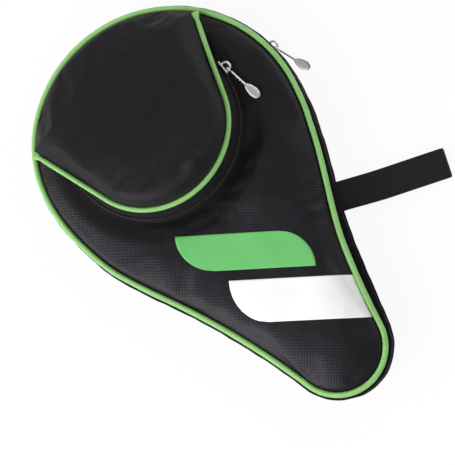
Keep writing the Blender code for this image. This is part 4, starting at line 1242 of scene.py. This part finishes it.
def film(name, colour):
    """Matt heat-pressed film over ripstop cloth: the grid shows through, with fine scuffs."""
    material, tree, shader = new_finish(name)
    across, along = weave_places(tree)
    fine = maths(tree, "MULTIPLY", thread_heights(tree, across, along, CLOTH_THREAD), 0.3)
    grid = maths(tree, "ADD", fine, ripstop_lines(tree, across, along, FRONT_RIPSTOP, GRID_SHARPNESS))
    uneven = patches(tree, FILM_PATCH)
    scuffs = patches(tree, SCUFF_SIZE, 5.0)
    pressed = blend_colours(tree, uneven, shade(colour, 0.94), shade(colour, 1.06))
    worn = maths(tree, "MULTIPLY", maths(tree, "GREATER_THAN", scuffs, 0.68), 0.10)
    set_inputs(tree, shader, {
        "Base Color": blend_colours(tree, worn, pressed, shade(colour, 0.7)),
        "Roughness": maths(tree, "MULTIPLY_ADD", scuffs, 0.25, 0.38),
        "Normal": relief(tree, grid, 0.5, 0.00006),
        "Specular IOR Level": 0.4,
    })
    return material


front_surface = BVHTree.FromObject(front_panel, bpy.context.evaluated_depsgraph_get())


def front_height(x, y):
    """Height of the front panel's cloth as it has settled."""
    spot, _, _, _ = front_surface.ray_cast(Vector((x, y, OVER_CASE)), Vector((0.0, 0.0, -1.0)))
    return FRONT_SEAM if spot is None else spot.z


def end_round(share):
    """How far a quarter round has come in, from none at 0 to all of it at 1."""
    return 1.0 - math.sqrt(1.0 - share ** 2)


film_along = np.array((math.cos(FILM_ANGLE), math.sin(FILM_ANGLE)))
film_down = np.array((film_along[1], -film_along[0]))
for name, start, (length, height), (left_round, right_round), colour, slot in FILMS:
    points = []
    for row in range(FILM_ROWS + 1):
        share = 1.0 - row / FILM_ROWS
        edge = np.array(start) + film_down * height * share
        left = edge + film_along * left_round * end_round(share)
        right = edge + film_along * (length - right_round * end_round(1.0 - share))
        while inset_of(*right) < PANEL_INSET + FILM_MARGIN:
            right = right - film_along * FILM_TRIM
        for column in range(FILM_COLUMNS + 1):
            x, y = left + (right - left) * column / FILM_COLUMNS
            points.append((x, y, front_height(x, y) + FILM_PROUD))
    stripe = make_piece(name + "_film", points, grid_faces(FILM_ROWS + 1, FILM_COLUMNS + 1))
    thicken(stripe, FILM_THICKNESS, 1.0)
    finish_piece(stripe, film(name + "_finish", colour), "front_half", slot, name)

# Zip sliders
# Nickel-plated zinc castings: two plates that straddle the coils, joined by a wedge between them, with
# an arched bail on the outer plate.
SLIDER_LENGTH = 0.0105
NOSE_WIDTH = 0.0076
TAIL_WIDTH = 0.0062
SLIDER_CORNER = 0.0012
SLIDER_STEPS = 24
NOSE_FROM = 0.35
NOSE_RUN = 0.5
PLATE = 0.0010
SLIDER_PLAY = 0.0007
WEDGE_SETBACK = 0.0009
WEDGE_AHEAD = 0.0004
WEDGE_BEHIND = 0.0008
WEDGE_HALF = 0.00045
BAIL_LEG = 0.0030
BAIL_HEIGHT = 0.0039
BAIL_WIRE = 0.00085
BAIL_ROOT = 0.0003
BAIL_SQUARENESS = 0.75
CAST_VOXEL = 0.00016
CAST_SOFTENING = 4
NICKEL = (0.80, 0.78, 0.76)
MARK_SIZE = 1.0 / 900.0
SWIRL_SCALE = (400.0, 400.0, 4000.0)
CHANNEL = COIL_RADIUS + SLIDER_PLAY
PLATE_TOP = CHANNEL + PLATE
EYE_LEVEL = PLATE_TOP + 0.5 * (BAIL_HEIGHT - BAIL_WIRE)


def nickel(name, colour):
    """Polished nickel plate: faint swirls, handling marks and duller hollows."""
    material, tree, shader = new_finish(name)
    marks = patches(tree, MARK_SIZE, 4.0)
    place = node(tree, "TexCoord", {}).outputs["Object"]
    brushed = node(tree, "Mapping", {"Vector": place, "Scale": SWIRL_SCALE}).outputs[0]
    swirls = node(tree, "TexNoise", {"Vector": brushed, "Scale": 1.0, "Detail": 2.0}).outputs["Fac"]
    set_inputs(tree, shader, {
        "Base Color": blend_colours(tree, marks, shade(colour, 0.86), shade(colour, 1.12)),
        "Roughness": maths(tree, "MULTIPLY_ADD", marks, 0.22, 0.22),
        "Normal": relief(tree, swirls, 0.12, 0.00005),
        "Metallic": 1.0,
    })
    return material


def cast(name, parts):
    """Run separate solids together into one casting with soft inner corners."""
    shape = bmesh.new()
    for part in parts:
        shape.from_mesh(part.data)
        bpy.data.objects.remove(part, do_unlink=True)
    bmesh.ops.recalc_face_normals(shape, faces=shape.faces)
    mesh = bpy.data.meshes.new(name)
    shape.to_mesh(mesh)
    shape.free()
    item = bpy.data.objects.new(name, mesh)
    scene.collection.objects.link(item)
    skin = item.modifiers.new("skin", "REMESH")
    skin.mode = "VOXEL"
    skin.voxel_size = CAST_VOXEL
    soften = item.modifiers.new("soften", "SMOOTH")
    soften.iterations = CAST_SOFTENING
    settled_copy(item)
    item.data.shade_smooth()
    return item


def slab(name, outline, low, high):
    """A flat plate from its outline."""
    count = len(outline)
    points = [(x, y, low) for x, y in outline] + [(x, y, high) for x, y in outline]
    faces = [range(count)[::-1], range(count, 2 * count)] + ring_faces(2, count)
    return make_piece(name, points, faces)


def plate_outline():
    """Outline of a slider's plates: narrow at the tail, swelling to the nose, with round corners."""
    tail, nose = -0.5 * SLIDER_LENGTH, 0.5 * SLIDER_LENGTH
    half = []
    for step in range(SLIDER_STEPS + 1):
        share = step / SLIDER_STEPS
        x = tail + SLIDER_LENGTH * share
        widening = (1.0 - math.cos(math.pi * min(1.0, max(0.0, share - NOSE_FROM) / NOSE_RUN))) / 2.0
        width = 0.5 * TAIL_WIDTH + (0.5 * NOSE_WIDTH - 0.5 * TAIL_WIDTH) * widening
        into_corner = max(0.0, SLIDER_CORNER - min(x - tail, nose - x))
        cut = SLIDER_CORNER - math.sqrt(max(0.0, SLIDER_CORNER ** 2 - into_corner ** 2))
        half.append((x, width - cut))
    return [(x, -y) for x, y in half] + [(x, y) for x, y in reversed(half)]


def slider_shape(name):
    """A slider that lies with X to its nose, Y across the zip and Z outward from the coils."""
    outline = plate_outline()
    front = 0.5 * SLIDER_LENGTH - WEDGE_SETBACK
    wedge = [(front - WEDGE_BEHIND, -WEDGE_HALF), (front + WEDGE_AHEAD, -WEDGE_HALF),
             (front + WEDGE_AHEAD, WEDGE_HALF), (front - WEDGE_BEHIND, WEDGE_HALF)]
    arch = []
    for step in range(SLIDER_STEPS + 1):
        angle = math.pi * step / SLIDER_STEPS
        x = -BAIL_LEG * math.copysign(abs(math.cos(angle)) ** BAIL_SQUARENESS, math.cos(angle))
        rise = (BAIL_HEIGHT + BAIL_ROOT) * math.sin(angle) ** BAIL_SQUARENESS
        arch.append((x, 0.0, PLATE_TOP - BAIL_ROOT + rise))
    bail = sweep("bail", arch, round_section(BAIL_WIRE, WIRE_SIDES), closed=False, lean=(0.0, 1.0, 0.0))
    parts = [slab("outer", outline, CHANNEL, PLATE_TOP), slab("inner", outline, -PLATE_TOP, -CHANNEL),
             slab("wedge", wedge, -PLATE_TOP, PLATE_TOP), bail]
    return cast(name, parts)


def stand(item, origin, along, outward):
    """Put a casting in its place, with X along one direction and Z nearest to another."""
    x_axis = along.normalized()
    z_axis = (outward - x_axis * outward.dot(x_axis)).normalized()
    turn = Matrix((x_axis, z_axis.cross(x_axis), z_axis)).transposed().to_4x4()
    item.data.transform(Matrix.Translation(origin) @ turn)


joints = {joint["name"]: joint for joint in frame["joints"]}
bright_nickel = nickel("bright_nickel", NICKEL)
slider_places = {}
for zip_name, leg in (("main", 1.0), ("pocket", -1.0)):
    eye = Vector(joints[zip_name + "_pull_swing"]["pos_m"])
    outward = -Vector(joints[zip_name + "_pull_swing"]["axis"])
    turning = Vector(joints[zip_name + "_slider_travel"]["axis"])
    along = outward.cross(turning)
    slider_places[zip_name] = eye, along, outward
    slider = slider_shape(zip_name + "_slider_casting")
    stand(slider, eye - along * leg * BAIL_LEG - outward * EYE_LEVEL, along, outward)
    finish_piece(slider, bright_nickel, zip_name + "_zip_slider", "nickel", zip_name + "_slider")

# Zip pulls
# Cast pulls of the same metal: an eye round the bail, a thin stem, and an oval paddle dished on both
# faces. The main pull leans down to the floor, the pocket's lies along the front.
EYE_WIRE = 0.00065
EYE_RADIUS = 0.00175
STEM_RADIUS = 0.0008
STEM_STEPS = 6
PULL_LENGTH = 0.0270
PADDLE_LENGTH = 0.0130
PADDLE_WIDTH = 0.0078
PADDLE_TAPER = 0.36
PADDLE_THICKNESS = 0.0016
PADDLE_RIM = 0.0012
PADDLE_DISH = 0.0004
PADDLE_SIDES = 36
FLOOR_GAP = 0.0006
WALL_GAP = 0.0009
MAIN_DROOP = math.asin((PARTING - 0.5 * PADDLE_THICKNESS - FLOOR_GAP) / PULL_LENGTH)
MAIN_LEAN = math.asin((0.5 * PADDLE_WIDTH + COIL_INSET - EYE_LEVEL + WALL_GAP)
                      / (PULL_LENGTH - 0.5 * PADDLE_LENGTH))
POCKET_DROOP = math.radians(2.5)
POCKET_LEAN = math.radians(9.0)
PULLS = (("main", MAIN_DROOP, MAIN_LEAN, 1.0), ("pocket", POCKET_DROOP, POCKET_LEAN, -1.0))


def paddle_shape():
    """The paddle: rings from the dish on one face over the rim to the dish on the other."""
    half = 0.5 * PADDLE_THICKNESS
    middle = PULL_LENGTH - 0.5 * PADDLE_LENGTH
    profile = [(3.0 * PADDLE_RIM, half - PADDLE_DISH), (PADDLE_RIM, half - PADDLE_DISH),
               (0.7 * PADDLE_RIM, half), (0.25 * PADDLE_RIM, half), (0.0, 0.5 * half)]
    profile += [(shrink, -height) for shrink, height in reversed(profile)]
    points = []
    for shrink, height in profile:
        long_half = 0.5 * PADDLE_LENGTH - shrink
        short_half = 0.5 * PADDLE_WIDTH - shrink
        for angle in np.linspace(0.0, 2.0 * math.pi, PADDLE_SIDES, endpoint=False):
            taper = 1.0 - PADDLE_TAPER * 0.5 * (1.0 - math.cos(angle))
            across = short_half * taper * math.sin(angle)
            points.append((middle + long_half * math.cos(angle), height, across))
    faces = ring_faces(len(profile), PADDLE_SIDES)
    faces.append(range(PADDLE_SIDES))
    faces.append(range(len(points) - PADDLE_SIDES, len(points))[::-1])
    return make_piece("paddle", points, faces)


def pull_shape(name):
    """A pull whose X runs from the eye to the paddle and whose Z is the eye's axis."""
    angles = np.linspace(0.0, 2.0 * math.pi, PADDLE_SIDES, endpoint=False)
    ring = np.stack([EYE_RADIUS * np.cos(angles), EYE_RADIUS * np.sin(angles), 0.0 * angles], axis=1)
    eye = sweep("eye", ring, round_section(EYE_WIRE, WIRE_SIDES), closed=True)
    stem_end = PULL_LENGTH - PADDLE_LENGTH + STEM_RADIUS
    stem_line = []
    for step in range(STEM_STEPS + 1):
        stem_line.append((EYE_RADIUS + (stem_end - EYE_RADIUS) * step / STEM_STEPS, 0.0, 0.0))
    stem = sweep("stem", stem_line, round_section(STEM_RADIUS, WIRE_SIDES), closed=False)
    return cast(name, [eye, stem, paddle_shape()])


for zip_name, droop, lean, lead in PULLS:
    eye, along, outward = slider_places[zip_name]
    level_way = (Vector((along.x, along.y, 0.0)) * lead).normalized()
    down = level_way * math.cos(droop) + Vector((0.0, 0.0, -math.sin(droop)))
    pull = pull_shape(zip_name + "_pull_casting")
    stand(pull, eye, down * math.cos(lean) + outward * math.sin(lean), outward)
    finish_piece(pull, bright_nickel, zip_name + "_zip_pull", "nickel", zip_name + "_pull")

# Hand strap
# A length of ribbed polypropylene webbing folded into a loop, its two ends sewn into the right flank. It
# falls from its root to the floor and lies there, with a soft fold at its far end.
STRAP_WIDTH = 0.0195
STRAP_LENGTH = 0.0790
STRAP_THICKNESS = 0.0012
STRAP_LOOP = 0.0074
STRAP_FALL = 0.5
STRAP_OPENING = 2.2
OPENING_CURVE = 1.5
STRAP_GAP = 0.0003
STRAP_STEPS = 40
FOLD_STEPS = 12
WEB_STEPS = 12
WEB_EDGE = 0.45
STRAP_BLACK = (0.0062, 0.0059, 0.0066)
STRAP_RIB = 0.0010

strap_root = Vector(joints["strap_swing"]["pos_m"])
strap_along = Vector(joints["strap_swing"]["axis"])
strap_out = strap_along.cross(Vector((0.0, 0.0, 1.0)))
strap_half = 0.5 * (STRAP_LOOP - STRAP_THICKNESS)
strap_drop = PARTING - strap_half - 0.5 * STRAP_THICKNESS - STRAP_GAP
strap_reach = STRAP_LENGTH - strap_half
root_gap = 0.5 * STRAP_THICKNESS + STRAP_GAP


def strap_layer(side):
    """The line of one layer, from the root to the fold: the loop falls to the floor and opens."""
    line = []
    for step in range(STRAP_STEPS + 1):
        share = step / STRAP_STEPS
        fall = -strap_drop * ease(min(1.0, share / STRAP_FALL))
        gap = root_gap + (strap_half - root_gap) * min(1.0, STRAP_OPENING * share) ** OPENING_CURVE
        line.append((strap_reach * share, fall + side * gap))
    return line


strap_line = strap_layer(1.0)
for step in range(1, FOLD_STEPS):
    angle = 0.5 * math.pi - math.pi * step / FOLD_STEPS
    across, rise = strap_half * math.cos(angle), strap_half * math.sin(angle)
    strap_line.append((strap_reach + across, -strap_drop + rise))
strap_line += strap_layer(-1.0)[::-1]
strap_path = [strap_root + strap_out * out + Vector((0.0, 0.0, up)) for out, up in strap_line]
web_section = []
for step in range(WEB_STEPS + 1):
    thin = 1.0 if 0 < step < WEB_STEPS else WEB_EDGE
    web_section.append((-0.5 * STRAP_THICKNESS * thin, STRAP_WIDTH * (step / WEB_STEPS - 0.5)))
web_section += [(-up, out) for up, out in reversed(web_section)]
strap = sweep("hand_strap_webbing", strap_path, web_section, closed=False, lean=strap_along)
strap_web = ribbed("strap_web", STRAP_BLACK, STRAP_RIB, bump=0.00010)
finish_piece(strap, strap_web, "wrist_strap", "black_webbing", "hand_strap")

# Studio
# A camera where the photograph was taken from, a pale paper floor that keeps the case's shadow, and
# two soft boxes: a strong one at the left and a weak one at the right.
CAMERA_AZIMUTH = math.radians(31.0)
CAMERA_ELEVATION = math.radians(79.0)
CAMERA_DISTANCE = 1.2
CAMERA_ROLL = math.radians(-40.18)
CAMERA_TARGET = Vector((-0.00652, -0.06768, 0.028))
CAMERA_LENS = 143.2
CAMERA_SENSOR = 36.0
CAMERA_FAR = 20.0
HALF_FLOOR = 3.0
FLOOR_LEVEL = -0.0006
FLOOR_WHITE = 0.92
SHOWN_WHITE = 0.92
WORLD_LIGHT = 0.45
CASE_MIDDLE = (0.0, -0.05, 0.02)

# Name, place, width, height and power in watts
SOFT_BOXES = (
    ("key_box", (-1.15, -0.10, 0.85), 1.8, 0.9, 24.5),
    ("fill_box", (1.25, 0.30, 0.65), 1.6, 1.0, 7.0),
)

backward = Vector((math.cos(CAMERA_ELEVATION) * math.sin(CAMERA_AZIMUTH),
                   -math.cos(CAMERA_ELEVATION) * math.cos(CAMERA_AZIMUTH), math.sin(CAMERA_ELEVATION)))
level_right = (-backward).cross(Vector((0.0, 1.0, 0.0))).normalized()
level_up = level_right.cross(-backward)
right = level_right * math.cos(CAMERA_ROLL) + level_up * math.sin(CAMERA_ROLL)
top = level_up * math.cos(CAMERA_ROLL) - level_right * math.sin(CAMERA_ROLL)
camera = bpy.data.objects.new("camera", bpy.data.cameras.new("camera"))
camera.data.lens = CAMERA_LENS
camera.data.sensor_width = CAMERA_SENSOR
camera.data.clip_end = CAMERA_FAR
turn = Matrix((right, top, backward)).transposed().to_4x4()
camera.matrix_world = Matrix.Translation(CAMERA_TARGET + backward * CAMERA_DISTANCE) @ turn
scene.collection.objects.link(camera)
scene.camera = camera

floor_mesh = bpy.data.meshes.new("floor")
floor_corners = []
for x, y in ((-1, -1), (1, -1), (1, 1), (-1, 1)):
    floor_corners.append((HALF_FLOOR * x, HALF_FLOOR * y, FLOOR_LEVEL))
floor_mesh.from_pydata(floor_corners, [], [(0, 1, 2, 3)])
floor = bpy.data.objects.new("floor", floor_mesh)
scene.collection.objects.link(floor)
paper, tree, shader = new_finish("paper")
set_inputs(tree, shader, {"Base Color": (FLOOR_WHITE, FLOOR_WHITE, FLOOR_WHITE, 1.0), "Roughness": 0.9})
rays = node(tree, "LightPath", {}).outputs
mirrored = maths(tree, "MAXIMUM", rays["Is Glossy Ray"], rays["Is Transmission Ray"])
seen = maths(tree, "MAXIMUM", rays["Is Camera Ray"], mirrored)
white = node(tree, "Emission", {"Color": (1.0, 1.0, 1.0, 1.0), "Strength": 1.0})
shown = node(tree, "MixShader", {0: maths(tree, "MULTIPLY", seen, SHOWN_WHITE), 1: shader.outputs[0],
                                 2: white.outputs[0]})
tree.links.new(shown.outputs[0], tree.nodes["Material Output"].inputs["Surface"])
floor_mesh.materials.append(paper)

world = bpy.data.worlds.new("room")
world.use_nodes = True
sky = world.node_tree.nodes["Background"]
set_inputs(world.node_tree, sky, {"Color": (1.0, 1.0, 1.0, 1.0), "Strength": WORLD_LIGHT})
scene.world = world
scene.view_settings.view_transform = "Standard"

for name, place, width, height, watts in SOFT_BOXES:
    lamp = bpy.data.lights.new(name, "AREA")
    lamp.shape = "RECTANGLE"
    lamp.size = width
    lamp.size_y = height
    lamp.energy = watts
    soft_box = bpy.data.objects.new(name, lamp)
    aim = Vector(CASE_MIDDLE) - Vector(place)
    soft_box.matrix_world = Matrix.Translation(place) @ aim.to_track_quat("-Z", "Y").to_matrix().to_4x4()
    scene.collection.objects.link(soft_box)
